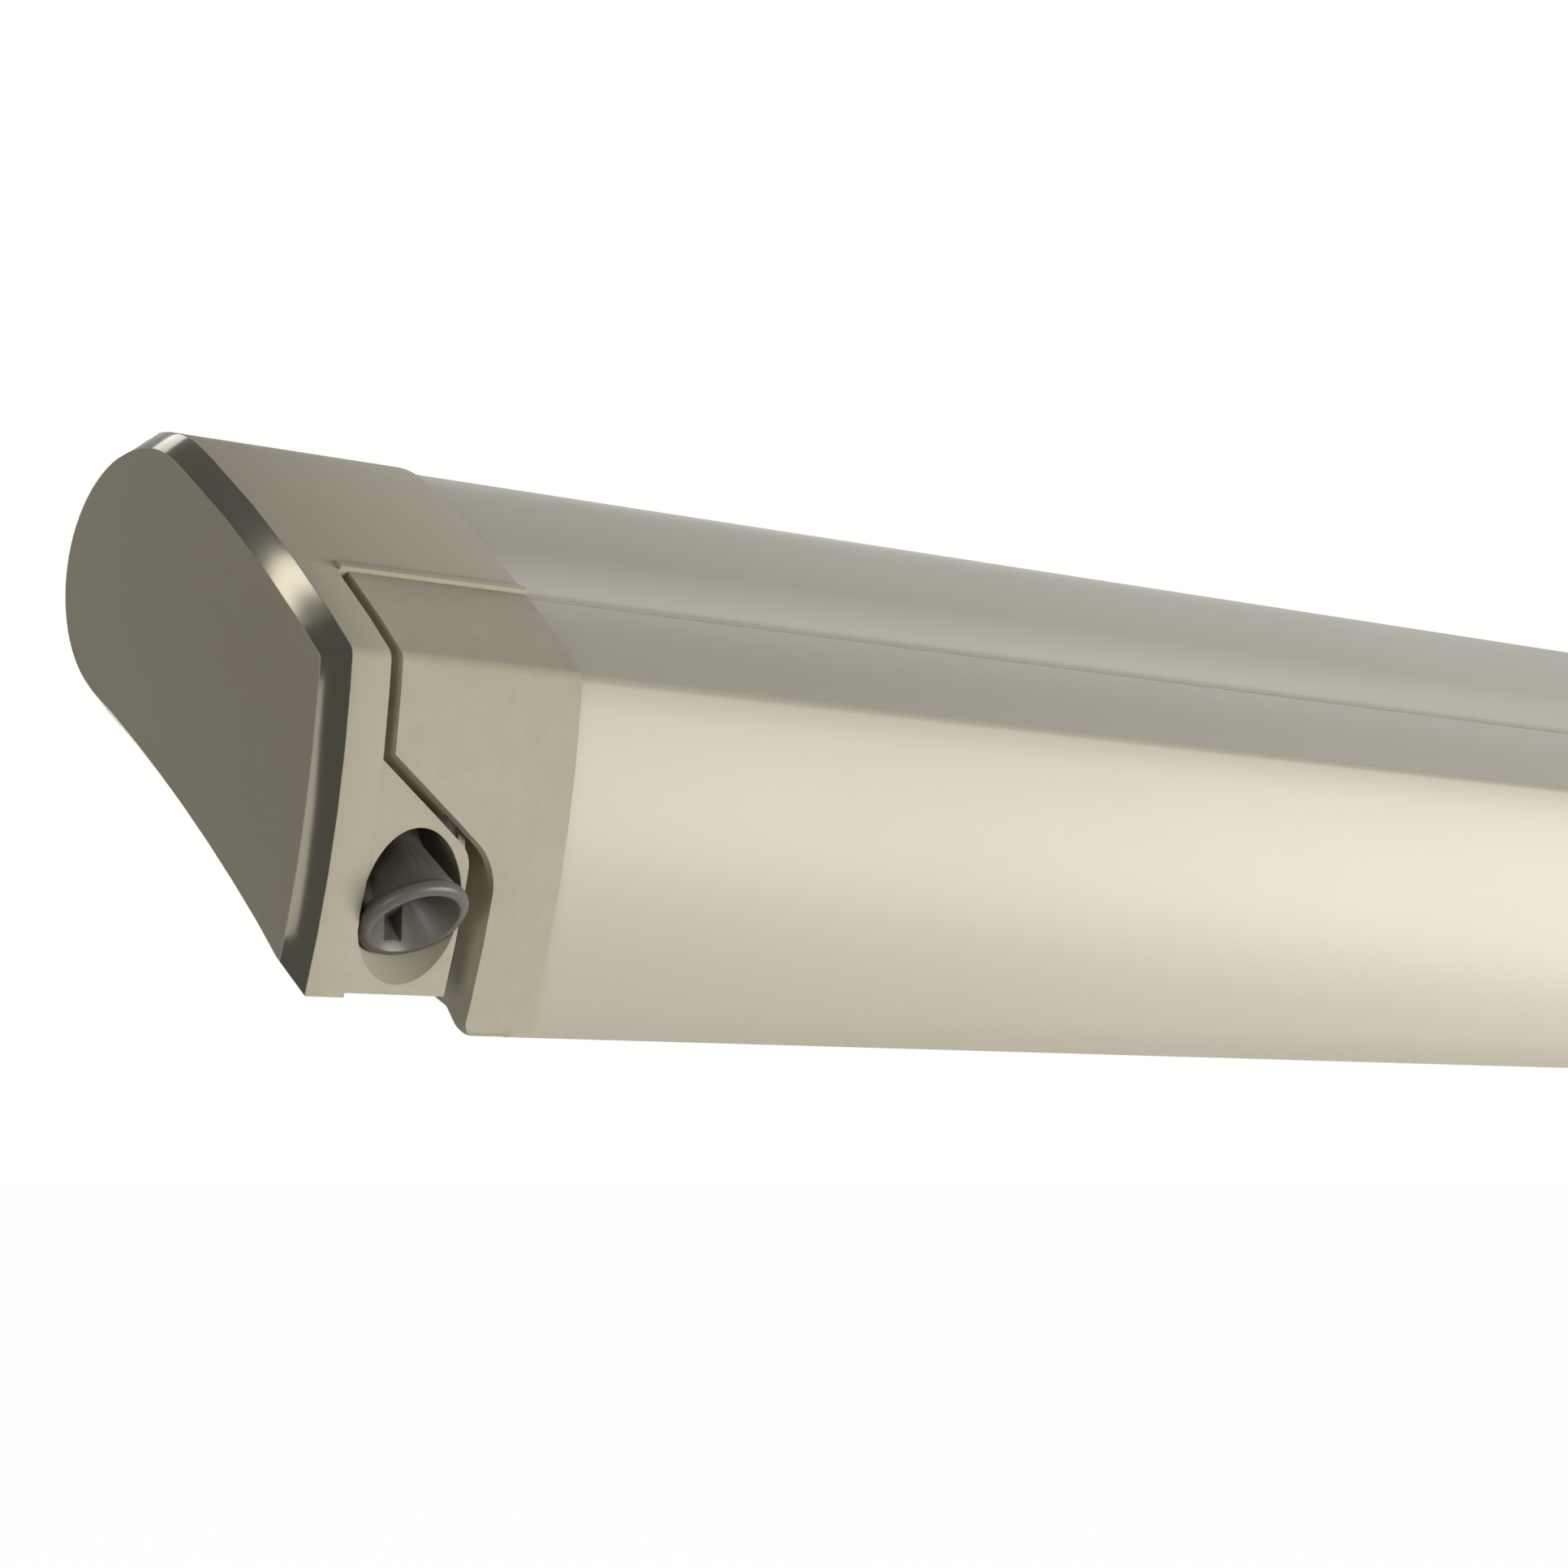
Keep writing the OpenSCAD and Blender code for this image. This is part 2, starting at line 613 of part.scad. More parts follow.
// Lead rail end cap
rail_cap_wall = 2.5;
flange = 9;
foot_round = 4;
foot_wall = 3;
foot_toe = foot_low + [1.5, 0];
foot_bend = foot_low + [8.2, 8.7];
module foot_outline() polygon(concat(
    [for (p = front_arcs(0, seam_angle, panel_end(0.8 - rail_low))) if (p[1] < -web_z + 4) p],
    [foot_toe, foot_bend, [foot_back, leg_z[1] - leg_h / 2 - channel_lip], [foot_back, -web_z]]));
module rail_cap_shape() difference() {
    rail_cap_walls();
    along_y(-far, far) translate([notch_x, -rail_low]) difference() {
        translate([-over, -over]) square(foot_round + over);
        translate([foot_round, foot_round]) circle(foot_round);
    }
}
module rail_cap_walls() {
    intersection() {
        union() {
            bar(rail_cap_x, cap_length) front_band(0, skin_inset - cap_fit, low_angle);
            bar(rail_cap_x, profile_x) front_band(0, rail_cap_wall, low_angle);
            bar(rail_cap_x, rail_cap_x + rail_cap_wall) front_band(0, flange, tip_angle);
        }
        along_y(-far, far) difference() {
            translate([-far, -far]) square(2 * far);
            below_diagonal(notch_x, 0);
        }
    }
    intersection() {
        bar(rail_cap_x, notch_x + 10) front_band(0, flange, low_angle);
        along_y(-far, far) difference() {
            below_diagonal(notch_x + rail_cap_wall, -rail_cap_wall);
            below_diagonal(notch_x, 0);
            translate([-far, -far]) square([2 * far, far - web_z]);
        }
    }
    bar(rail_cap_x, profile_x) seam_strip(-2.3, -0.3, 0.1, flange);
    bar(notch_x, notch_x + rail_cap_wall) difference() {
        foot_outline();
        translate([-far, -web_z]) square(2 * far);
    }
    bar(notch_x, profile_x) intersection() {
        foot_outline();
        polygon([foot_low - [foot_wall, over], foot_toe - [0, over], foot_bend + [over, -over],
                 [foot_back + over, leg_z[1] - leg_h / 2 - channel_lip - 0.8], [foot_back + over, leg_z[1] - leg_h / 2],
                 foot_bend + [0, foot_wall], foot_toe + [0, foot_wall], foot_low + [-foot_wall, foot_wall]]);
    }
}
module rail_cap_left() color(olive) seated() from_left() rail_cap_shape();
module rail_cap_right() color(olive) seated() right_hand() from_left() rail_cap_shape();

module cap_screws() color(alloy) seated() for (m = [0, 1]) mirror([m, 0, 0]) from_left() cap_screw_place() {
    cylinder(r = screw_core, h = cap_screw_l);
    translate([0, 0, 0.4]) cylinder(r = 3.6, h = 2);
}

// Crank eye: a bell with a cross slot, on the worm shaft
module crank_eye() color(anthracite) seated() from_left() crank_place() difference() {
    union() {
        translate([0, 0, 2]) cylinder(r1 = eye_rim_d / 2 - 0.6, r2 = eye_neck_d / 2, h = eye_cone_h - 2);
        rotate_extrude() translate([eye_rim_d / 2 - 2.4, 2.4]) circle(2.4);
        translate([0, 0, eye_cone_h - 0.5]) cylinder(r = eye_neck_d / 2, h = eye_length - eye_cone_h + 0.5);
    }
    translate([0, 0, -0.2]) cylinder(r1 = eye_rim_d / 2 - 3, r2 = 4.5, h = 14);
    translate([0, 0, 13]) cylinder(r = 4.5, h = 12);
    translate([-eye_rim_d, -3, 6]) cube([eye_rim_d, 6, 14]);
    translate([-3, -eye_rim_d / 2 + 5, -1]) cube([6, eye_rim_d - 10, 12]);
    translate([0, 0, eye_length - 8]) cylinder(r = shaft_d / 2, h = 8 + over);
}
module worm_shaft() color(alloy) seated() from_left() crank_place() {
    translate([0, 0, eye_length - 8])
        cylinder(r = shaft_d / 2, h = worm_along - eye_length + 8 - worm_length / 2 + 0.5);
    translate([0, 0, worm_along - worm_length / 2])
        linear_extrude(worm_length, twist = -360 * worm_length / worm_lead, slices = worm_slices) worm_section();
    translate([0, 0, worm_along + worm_length / 2 - 0.5]) cylinder(r = shaft_d / 2 - 1.5, h = 9);
}
// Cross section of the worm's threads: each spans a share of a turn at the root and less at the top
thread_root = 66;
thread_top = 40;
worm_slices = 30;
module worm_section() {
    circle(worm_r - tooth_in, $fn = 16);
    for (k = [0:worm_starts - 1]) rotate(k * 360 / worm_starts) polygon(concat([[0, 0]],
        [polar([0, 0], worm_r - tooth_in - 0.1, -thread_root / 2)],
        arc([0, 0], worm_r + tooth_out, -thread_top / 2, thread_top / 2, 2),
        [polar([0, 0], worm_r - tooth_in - 0.1, thread_root / 2)]));
}

// Worm wheel: the section twisted along the helix of the worm's thread
tooth_root_w = 0.36;
tooth_tip_w = 0.2;
wheel_twist = atan(wheel_width * tan(worm_angle) / wheel_r);
module wheel_section() {
    circle(wheel_r - tooth_in);
    step = 360 / wheel_teeth;
    for (i = [0:wheel_teeth - 1]) rotate(i * step) polygon(concat(
        arc([0, 0], wheel_r - tooth_in - 0.3, -tooth_root_w / 2 * step, tooth_root_w / 2 * step, 2),
        arc([0, 0], wheel_r + tooth_out, tooth_tip_w / 2 * step, -tooth_tip_w / 2 * step, 2)));
}
module worm_wheel() color("goldenrod") seated() from_left() translate([crank_x, roller[0], roller[1]])
    rotate([0, 90, 0]) difference() {
        rotate(-wheel_twist / 2) translate([0, 0, -wheel_width / 2])
            linear_extrude(wheel_width, twist = -wheel_twist, slices = 4) wheel_section();
        translate([0, 0, -wheel_width]) cylinder(r = roller_shaft_d / 2, h = 2 * wheel_width);
    }

// Gear casing: two halves that meet in the plane of the crank axis
casing_r = wheel_r + tooth_out + 1.2;
worm_room = worm_r + tooth_out + 0.8;
casing_half = worm_room + casing_wall;
module casing_block(from, to) difference() {
    union() {
        translate([from, roller[0], roller[1]]) rotate([0, 90, 0])
            cylinder(r = casing_r + casing_wall, h = to - from);
        intersection() {
            crank_place() translate([-far / 2, -casing_half, worm_along - worm_length / 2 - 5])
                cube([far, casing_half + worm_centre - 6, worm_length + 10]);
            bar(from, to) polygon(outline(cap_wall + 1));
        }
    }
    translate([crank_x - wheel_width / 2 - 0.6, roller[0], roller[1]]) rotate([0, 90, 0])
        cylinder(r = casing_r, h = wheel_width + 1.2);
    crank_place() {
        translate([0, 0, worm_along - worm_length / 2 - 1]) cylinder(r = worm_room, h = worm_length + 2);
        translate([0, 0, worm_along - worm_length]) cylinder(r = shaft_d / 2 + run_gap, h = worm_length);
        translate([0, 0, worm_along]) cylinder(r = shaft_d / 2 - 1.5 + run_gap, h = worm_length);
    }
    translate([crank_x - far / 2, roller[0], roller[1]]) rotate([0, 90, 0])
        cylinder(r = roller_shaft_d / 2 + run_gap, h = far);
}
casing_depth = 14;
module gear_casing() color(zinc) seated() from_left() union() {
    casing_block(crank_x, crank_x + casing_depth);
    difference() {
        translate([crank_x + casing_depth - 0.5, roller[0], roller[1]]) rotate([0, 90, 0])
            cylinder(r = roller_shaft_d / 2 + run_gap + 5, h = plate_x - crank_x - casing_depth + 0.5);
        translate([crank_x, roller[0], roller[1]]) rotate([0, 90, 0])
            cylinder(r = roller_shaft_d / 2 + run_gap, h = far);
    }
}
module gear_cover() color(anthracite) seated() from_left() casing_block(crank_x - casing_depth, crank_x);

// Roller with its plugs
module axial(from, to, r) translate([from, roller[0], roller[1]]) rotate([0, 90, 0]) cylinder(r = r, h = to - from);
module roller_tube() color(alloy) seated() difference() {
    axial(roller_inset - half, half - roller_inset, roller_d / 2);
    axial(roller_inset - half - over, half - roller_inset + over, roller_d / 2 - roller_wall);
}
plug_length = 40;
module roller_plug_left() color(anthracite) seated() from_left() {
    axial(roller_inset, roller_inset + plug_length, roller_d / 2 - roller_wall);
    axial(roller_inset - 3, roller_inset, roller_d / 2);
    axial(crank_x - casing_depth + 2, roller_inset - 2, roller_shaft_d / 2);
}
module roller_plug_right() color(anthracite) seated() right_hand() from_left() difference() {
    union() {
        axial(roller_inset, roller_inset + plug_length, roller_d / 2 - roller_wall);
        axial(roller_inset - 3, roller_inset, roller_d / 2);
    }
    axial(roller_inset - 4, roller_inset + plug_length - 5, idler_d / 2 + run_gap + bush_wall);
}
module idler_bush() color(rubber) seated() right_hand() from_left() difference() {
    axial(roller_inset - 3, roller_inset + plug_length - 5, idler_d / 2 + run_gap + bush_wall);
    axial(roller_inset - 4, roller_inset + plug_length, idler_d / 2 + run_gap);
}
module idler_axle() color(alloy) seated() right_hand() from_left() {
    axial(plate_x - 4, roller_inset + plug_length - 8, idler_d / 2);
    axial(plate_x - 4, plate_x, idler_d / 2 + 3);
}
module fabric_roll() color(cloth) seated() difference() {
    axial(fabric_inset - half, half - fabric_inset, roll_d / 2);
    axial(-half, half, roller_d / 2);
}

module fabric_line(a, b) seated() bar(fabric_inset - half, half - fabric_inset)
    translate(a) rotate(heading(b - a)) translate([0, -fabric_t / 2]) square([norm(b - a), fabric_t]);
module fabric_run() color(cloth) fabric_line(hem_end, leave);
module fabric_hem() color(cloth) fabric_line(hem_start, hem_end - 0.2 * run_dir);

// Arms
module arm_place() translate([shoulder_inset, shoulder_y, -shoulder_z]) rotate([arm_pitch, 0, 0]) children();
module tube(from, to, mid) difference() {
    translate([from, mid, 0]) rotate([90, 0, 90]) linear_extrude(to - from) rounded(arm_w, arm_h, 4);
    translate([from - over, mid, 0]) rotate([90, 0, 90]) linear_extrude(to - from + 2 * over)
        rounded(arm_w - 2 * arm_wall, arm_h - 2 * arm_wall, 2);
}
module spigot_block(from, to, mid) translate([from, mid, 0]) rotate([90, 0, 90]) linear_extrude(to - from)
    rounded(arm_w - 2 * arm_wall - spigot_fit, arm_h - 2 * arm_wall - spigot_fit, 1.9);
module collar(from, to, mid, h) translate([from, mid, 0]) rotate([90, 0, 90]) linear_extrude(to - from)
    rounded(arm_w, h, 2.4);
upper_mid = -pivot_step / 2;
fore_mid = -1.5 * pivot_step;
// A knuckle: an eye on the pivot, a neck that stays between the ears, and a spigot in the tube
module knuckle(offset, r) difference() {
    union() {
        cylinder(r = r, h = knuckle_h, center = true);
        collar(r * 0.2, 16, offset, knuckle_h);
        collar(15.5, tube_start, offset, arm_h);
        spigot_block(tube_start - 0.5, tube_start + spigot, offset);
    }
    cylinder(r = arm_pin_d / 2 + run_gap, h = arm_h, center = true);
}
eye_h = 20;
fork_ear = (arm_h - eye_h) / 2;
module fork_end(offset, r) difference() {
    union() {
        for (m = [0, 1]) mirror([0, 0, m]) translate([0, 0, arm_h / 2 - fork_ear]) {
            cylinder(r = r, h = fork_ear);
            translate([0, offset - arm_w / 2 + 0.5, 0]) cube([15, arm_w - 1, fork_ear]);
        }
        collar(14, tube_start, offset, arm_h);
        spigot_block(tube_start - 0.5, tube_start + spigot, offset);
    }
    cylinder(r = arm_pin_d / 2, h = arm_h + 2 * over, center = true);
}
module elbow_eye(offset, r) difference() {
    union() {
        cylinder(r = r, h = eye_h - 2 * ear_play, center = true);
        collar(r * 0.2, 17, offset, eye_h - 2 * ear_play);
        collar(16.5, tube_start, offset, arm_h);
        spigot_block(tube_start - 0.5, tube_start + spigot, offset);
    }
    cylinder(r = arm_pin_d / 2 + run_gap, h = arm_h, center = true);
}
module shoulder_knuckle() arm_place() knuckle(upper_mid, knuckle_r);
module upper_arm() arm_place() tube(tube_start, elbow_at - tube_start, upper_mid);
module elbow_fork() arm_place() translate([elbow_at, -pivot_step, 0]) mirror([1, 0, 0])
    fork_end(pivot_step / 2, knuckle_r + 1.5);
module elbow_pin() arm_place() translate([elbow_at, -pivot_step, 0]) {
    cylinder(r = arm_pin_d / 2, h = arm_h, center = true);
    for (m = [0, 1]) mirror([0, 0, m]) translate([0, 0, arm_h / 2]) cylinder(r = arm_pin_d / 2 + 2, h = 1.4);
}
module elbow_knuckle() arm_place() translate([elbow_at, -pivot_step, 0]) mirror([1, 0, 0])
    elbow_eye(-pivot_step / 2, knuckle_r);
module forearm() arm_place() tube(tube_start, elbow_at - tube_start, fore_mid);
module wrist_knuckle() arm_place() translate([0, -2 * pivot_step, 0]) knuckle(pivot_step / 2, knuckle_r);
spring_length = 420;
module arm_spring() arm_place() translate([tube_start + spigot + 20, upper_mid, 0]) rotate([0, 90, 0]) {
    difference() {
        cylinder(r = arm_w / 2 - arm_wall - 0.4, h = spring_length);
        translate([0, 0, -over]) cylinder(r = arm_w / 2 - arm_wall - 2.4, h = spring_length + 2 * over);
    }
}
module shoulder_knuckle_left() color(anthracite) seated() from_left() shoulder_knuckle();
module upper_arm_left() color(cream) seated() from_left() upper_arm();
module elbow_fork_left() color(anthracite) seated() from_left() elbow_fork();
module elbow_pin_left() color(alloy) seated() from_left() elbow_pin();
module elbow_knuckle_left() color(anthracite) seated() from_left() elbow_knuckle();
module forearm_left() color(cream) seated() from_left() forearm();
module wrist_knuckle_left() color(anthracite) seated() from_left() wrist_knuckle();
module arm_spring_left() color(alloy) seated() from_left() arm_spring();
module shoulder_knuckle_right() color(anthracite) seated() right_hand() from_left() shoulder_knuckle();
module upper_arm_right() color(cream) seated() right_hand() from_left() upper_arm();
module elbow_fork_right() color(anthracite) seated() right_hand() from_left() elbow_fork();
module elbow_pin_right() color(alloy) seated() right_hand() from_left() elbow_pin();
module elbow_knuckle_right() color(anthracite) seated() right_hand() from_left() elbow_knuckle();
module forearm_right() color(cream) seated() right_hand() from_left() forearm();
module wrist_knuckle_right() color(anthracite) seated() right_hand() from_left() wrist_knuckle();
module arm_spring_right() color(alloy) seated() right_hand() from_left() arm_spring();

// Brackets: two ears round a knuckle on a foot
ear_z = knuckle_h / 2 + ear_play;
bracket_half = 22;
module ears(r) for (m = [0, 1]) mirror([0, 0, m]) translate([0, 0, ear_z]) cylinder(r = r, h = ear_t);
bracket_screw_x = [shoulder_inset - 15, shoulder_inset + 15];
screw_along = 101;
foot_t = 5;
module shoulder_bracket() difference() {
    union() {
        arm_place() {
            ears(knuckle_r);
            for (m = [0, 1]) mirror([0, 0, m]) translate([-knuckle_r, 0, ear_z]) cube([2 * knuckle_r, 14.5, ear_t]);
            translate([-knuckle_r, knuckle_r + 1, -ear_z - ear_t]) cube([2 * knuckle_r, 4, 2 * (ear_z + ear_t)]);
        }
        bar(shoulder_inset - bracket_half, shoulder_inset + bracket_half) intersection() {
            belly_strip(seat_start + 5, screw_along + 8, seat_inset + seat_thick, seat_inset + seat_thick + foot_t);
            translate([mouth_y - 1, -far]) square(2 * far);
        }
    }
    arm_place() cylinder(r = arm_pin_d / 2, h = far, center = true);
    bar(0, half) belly_strip(0, seat_end, 0, seat_inset + seat_thick);
    bracket_screw_place() translate([0, 0, -far / 2]) cylinder(r = screw_core + 0.4, h = far);
}
// Places of the screws, pointing out of the seat into the awning
module bracket_screw_shank(r) translate([0, 0, seat_inset + 1.5])
    cylinder(r = r, h = seat_thick + foot_t - 1);
module bracket_screw_place() for (x = bracket_screw_x)
    translate([x, at_belly(screw_along, 0)[0], at_belly(screw_along, 0)[1]]) rotate([belly_turn, 0, 0]) children();
module shoulder_bracket_left() color(zinc) seated() from_left() shoulder_bracket();
module shoulder_bracket_right() color(zinc) seated() right_hand() from_left() shoulder_bracket();
module bracket_screws() color(alloy) seated() for (m = [0, 1]) mirror([m, 0, 0]) from_left() bracket_screw_place() {
    bracket_screw_shank(screw_core);
    translate([0, 0, seat_inset + seat_thick + foot_t]) cylinder(r = 3.6, h = 2.4);
}
module wrist_bracket() difference() {
    union() {
        arm_place() translate([0, -2 * pivot_step, 0]) {
            ears(knuckle_r);
            translate([-knuckle_r - 6, -knuckle_r, -ear_z - ear_t]) cube([5, knuckle_r, 2 * (ear_z + ear_t)]);
            for (m = [0, 1]) mirror([0, 0, m]) translate([-knuckle_r - 4, -knuckle_r, ear_z])
                cube([knuckle_r + 4, knuckle_r, ear_t]);
        }
        bar(shoulder_inset - 16, shoulder_inset + bracket_half) translate([wrist_y - 8, -web_z]) square([24, 2.2]);
        bar(shoulder_inset - 16, shoulder_inset + knuckle_r) translate([wrist_y - 7, -web_z])
            square([14, wrist_low + web_z]);
    }
    arm_place() translate([0, -2 * pivot_step, 0]) cylinder(r = arm_pin_d / 2, h = 2 * (ear_z + ear_t) + 2, center = true);
    arm_place() translate([0, -2 * pivot_step, 0]) cylinder(r = knuckle_r + 0.4, h = 2 * ear_z, center = true);
}
wrist_y = shoulder_y - 2 * pivot_step * cos(arm_pitch);
wrist_low = -shoulder_z - 2 * pivot_step * sin(arm_pitch) - ear_z - ear_t + 2.5;
module wrist_bracket_left() color(zinc) seated() from_left() wrist_bracket();
module wrist_bracket_right() color(zinc) seated() right_hand() from_left() wrist_bracket();
module arm_pin() {
    cylinder(r = arm_pin_d / 2, h = 2 * (ear_z + ear_t), center = true);
    translate([0, 0, ear_z + ear_t]) cylinder(r = arm_pin_d / 2 + 2, h = 1.4);
}
module shoulder_pins() color(alloy) seated() for (m = [0, 1]) mirror([m, 0, 0]) from_left() arm_place() arm_pin();
module wrist_pins() color(alloy) seated() for (m = [0, 1]) mirror([m, 0, 0]) from_left() arm_place()
    translate([0, -2 * pivot_step, 0]) arm_pin();

// Legs: stored in the lead rail, k = 0 in front and k = 1 behind
module leg_place(k) translate([leg_inset, leg_y[k], leg_z[k]]) children();
module leg_tube(from, to, d, wall) difference() {
    translate([from, 0, 0]) rotate([90, 0, 90]) linear_extrude(to - from) rounded(leg_w - 2 * d, leg_h - 2 * d, 4 - d);
    translate([from - over, 0, 0]) rotate([90, 0, 90]) linear_extrude(to - from + 2 * over)
        rounded(leg_w - 2 * d - 2 * wall, leg_h - 2 * d - 2 * wall, max(4 - d - wall, 0.6));
}
leg_end = leg_length - leg_h / 2;
module across(x, w, z, r) translate([x, -w / 2, z]) rotate([-90, 0, 0]) cylinder(r = r, h = w);
module leg_outer(k) leg_place(k) {
    difference() {
        union() {
            leg_tube(18, leg_end, 0, leg_wall);
            across(0, leg_w, 0, leg_h / 2);
            translate([0, -leg_w / 2, -leg_h / 2]) cube([18.5, leg_w, leg_h]);
        }
        across(0, 2 * leg_w, 0, leg_pin_d / 2 + run_gap);
        translate([lever_x - 6, -5, -leg_h]) cube([12, 10, leg_h - 6]);
    }
    for (m = [0, 1]) mirror([0, m, 0]) translate([lever_x - 3, lever_w / 2 + 0.3, lever_z - 2.2])
        cube([6, 2, -leg_h / 2 - lever_z + 3]);
    across(lever_x, lever_w + 2, lever_z, lever_pin_r);
}
inner_d = leg_wall + leg_fit;
foot_seat = 6;
foot_l = 22;
foot_tread = 4;
module leg_inner(k) leg_place(k) leg_tube(leg_inner_start, leg_end + foot_seat, inner_d, 1.5);
module leg_foot(k) leg_place(k) {
    translate([leg_end + 1, 0, 0]) rotate([90, 0, 90]) linear_extrude(foot_seat - 1) difference() {
        rounded(leg_w, leg_h, 4);
        rounded(leg_w - 2 * inner_d, leg_h - 2 * inner_d, 4 - inner_d);
    }
    translate([leg_end + foot_seat, 0, 0]) rotate([90, 0, 90]) linear_extrude(foot_l) rounded(leg_w, leg_h, 4);
    translate([leg_end + foot_seat + foot_l, 0, 0]) rotate([90, 0, 90]) linear_extrude(foot_tread)
        rounded(leg_w - 3, leg_h - 3, 3);
}
lever_l = 30;
lever_w = 8;
lever_x = leg_end - 14;
lever_z = -leg_h / 2 - 3.4;
lever_pin_r = 1.2;
module clamp_lever(k) leg_place(k) difference() {
    union() {
        across(lever_x, lever_w, lever_z, 3.2);
        translate([lever_x - lever_l, -lever_w / 2, lever_z - 3.2]) cube([lever_l, lever_w, 2.6]);
    }
    across(lever_x, lever_w + 2 * over, lever_z, lever_pin_r + run_gap);
}
module leg_bracket(k) leg_place(k) difference() {
    translate([-leg_h / 2 - 5, -leg_w / 2 - leg_play + 0.1, -leg_h / 2 + 2]) cube([4, leg_w + 2 * leg_play - 0.2, leg_h]);
    translate([-far, -far, leg_h / 2 + 1.9]) cube(2 * far);
}
module leg_pins() color(alloy) seated() for (k = [0, 1]) mirror([k, 0, 0])
    translate([leg_inset - half, leg_y[k] - leg_w / 2 - leg_play - leg_wall_t, leg_z[k]]) rotate([-90, 0, 0])
        cylinder(r = leg_pin_d / 2, h = leg_w + 2 * leg_play + 2 * leg_wall_t);
module leg_bracket_left() color(anthracite) seated() from_left() leg_bracket(0);
module leg_bracket_right() color(anthracite) seated() right_hand() from_left() leg_bracket(1);
module leg_outer_left() color(alloy) seated() from_left() leg_outer(0);
module leg_outer_right() color(alloy) seated() right_hand() from_left() leg_outer(1);
module leg_inner_left() color(alloy) seated() from_left() leg_inner(0);
module leg_inner_right() color(alloy) seated() right_hand() from_left() leg_inner(1);
module clamp_lever_left() color(anthracite) seated() from_left() clamp_lever(0);
module clamp_lever_right() color(anthracite) seated() right_hand() from_left() clamp_lever(1);
module leg_foot_left() color(rubber) seated() from_left() leg_foot(0);
module leg_foot_right() color(rubber) seated() right_hand() from_left() leg_foot(1);

housing_profile();
seam_seal();
end_plate_left();
end_plate_right();
end_cap_left();
end_cap_right();
cap_screws();
plate_screws();
gear_casing();
gear_cover();
roller_bush();
idler_axle();
crank_eye();
worm_shaft();
worm_wheel();
roller_tube();
roller_plug_left();
roller_plug_right();
idler_bush();
fabric_roll();
fabric_run();
fabric_hem();
shoulder_bracket_left();
shoulder_bracket_right();
shoulder_pins();
bracket_screws();
shoulder_knuckle_left();
upper_arm_left();
arm_spring_left();
elbow_fork_left();
elbow_pin_left();
elbow_knuckle_left();
forearm_left();
wrist_knuckle_left();
shoulder_knuckle_right();
upper_arm_right();
arm_spring_right();
elbow_fork_right();
elbow_pin_right();
elbow_knuckle_right();
forearm_right();
wrist_knuckle_right();
lead_rail();
rail_cap_left();
rail_cap_right();
keder_rod();
wrist_bracket_left();
wrist_bracket_right();
wrist_pins();
leg_bracket_left();
leg_bracket_right();
leg_pins();
leg_outer_left();
leg_outer_right();
leg_inner_left();
leg_inner_right();
clamp_lever_left();
clamp_lever_right();
leg_foot_left();
leg_foot_right();
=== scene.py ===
"""Roll out awning: finishes, cloth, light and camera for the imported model.

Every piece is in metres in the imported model's own frame: +X runs along the
awning to its right end, -Y is the side away from the vehicle, +Z is up.
"""

from __future__ import annotations

import json
import logging
import math
from dataclasses import dataclass, field
from enum import Enum
from typing import Any, Iterable

import bmesh
import bpy
from mathutils import Matrix, Vector

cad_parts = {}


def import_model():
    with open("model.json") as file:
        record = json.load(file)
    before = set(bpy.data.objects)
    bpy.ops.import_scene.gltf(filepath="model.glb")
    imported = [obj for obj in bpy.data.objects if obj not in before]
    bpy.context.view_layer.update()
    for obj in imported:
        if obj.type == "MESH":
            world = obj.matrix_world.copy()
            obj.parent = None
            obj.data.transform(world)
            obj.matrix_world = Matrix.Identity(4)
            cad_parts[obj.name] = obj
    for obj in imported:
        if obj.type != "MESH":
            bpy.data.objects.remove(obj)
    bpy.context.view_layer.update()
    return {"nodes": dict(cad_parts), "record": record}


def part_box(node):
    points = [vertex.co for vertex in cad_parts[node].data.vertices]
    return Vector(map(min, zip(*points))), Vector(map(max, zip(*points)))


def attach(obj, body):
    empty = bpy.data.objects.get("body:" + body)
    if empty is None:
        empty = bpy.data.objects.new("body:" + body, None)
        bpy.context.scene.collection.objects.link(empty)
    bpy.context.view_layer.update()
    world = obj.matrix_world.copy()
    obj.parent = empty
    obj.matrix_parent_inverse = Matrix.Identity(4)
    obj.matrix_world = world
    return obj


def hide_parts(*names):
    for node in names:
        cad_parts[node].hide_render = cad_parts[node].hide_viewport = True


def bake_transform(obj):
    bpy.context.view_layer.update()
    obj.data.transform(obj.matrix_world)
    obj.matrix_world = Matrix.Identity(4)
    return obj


LOG = logging.getLogger("awning")
Colour = tuple[float, float, float]
Place = tuple[float, float]


class Edge(Enum):
    """How wide the rounding of a CAD node's edges is, in metres."""

    NONE = 0.0
    FINE = 0.00025
    MOULDED = 0.0005
    CAST = 0.0009


def linear(colour: Colour) -> tuple[float, float, float, float]:
    """Turn a colour written as 0 to 255 into the linear values of a shader.

    Args:
        colour: Red, green and blue, each 0 to 255.

    Returns:
        Linear red, green and blue, and an alpha of 1.
    """
    parts = [c / 255 for c in colour]
    flat = [c / 12.92 if c <= 0.04045 else ((c + 0.055) / 1.055) ** 2.4 for c in parts]
    return (flat[0], flat[1], flat[2], 1.0)


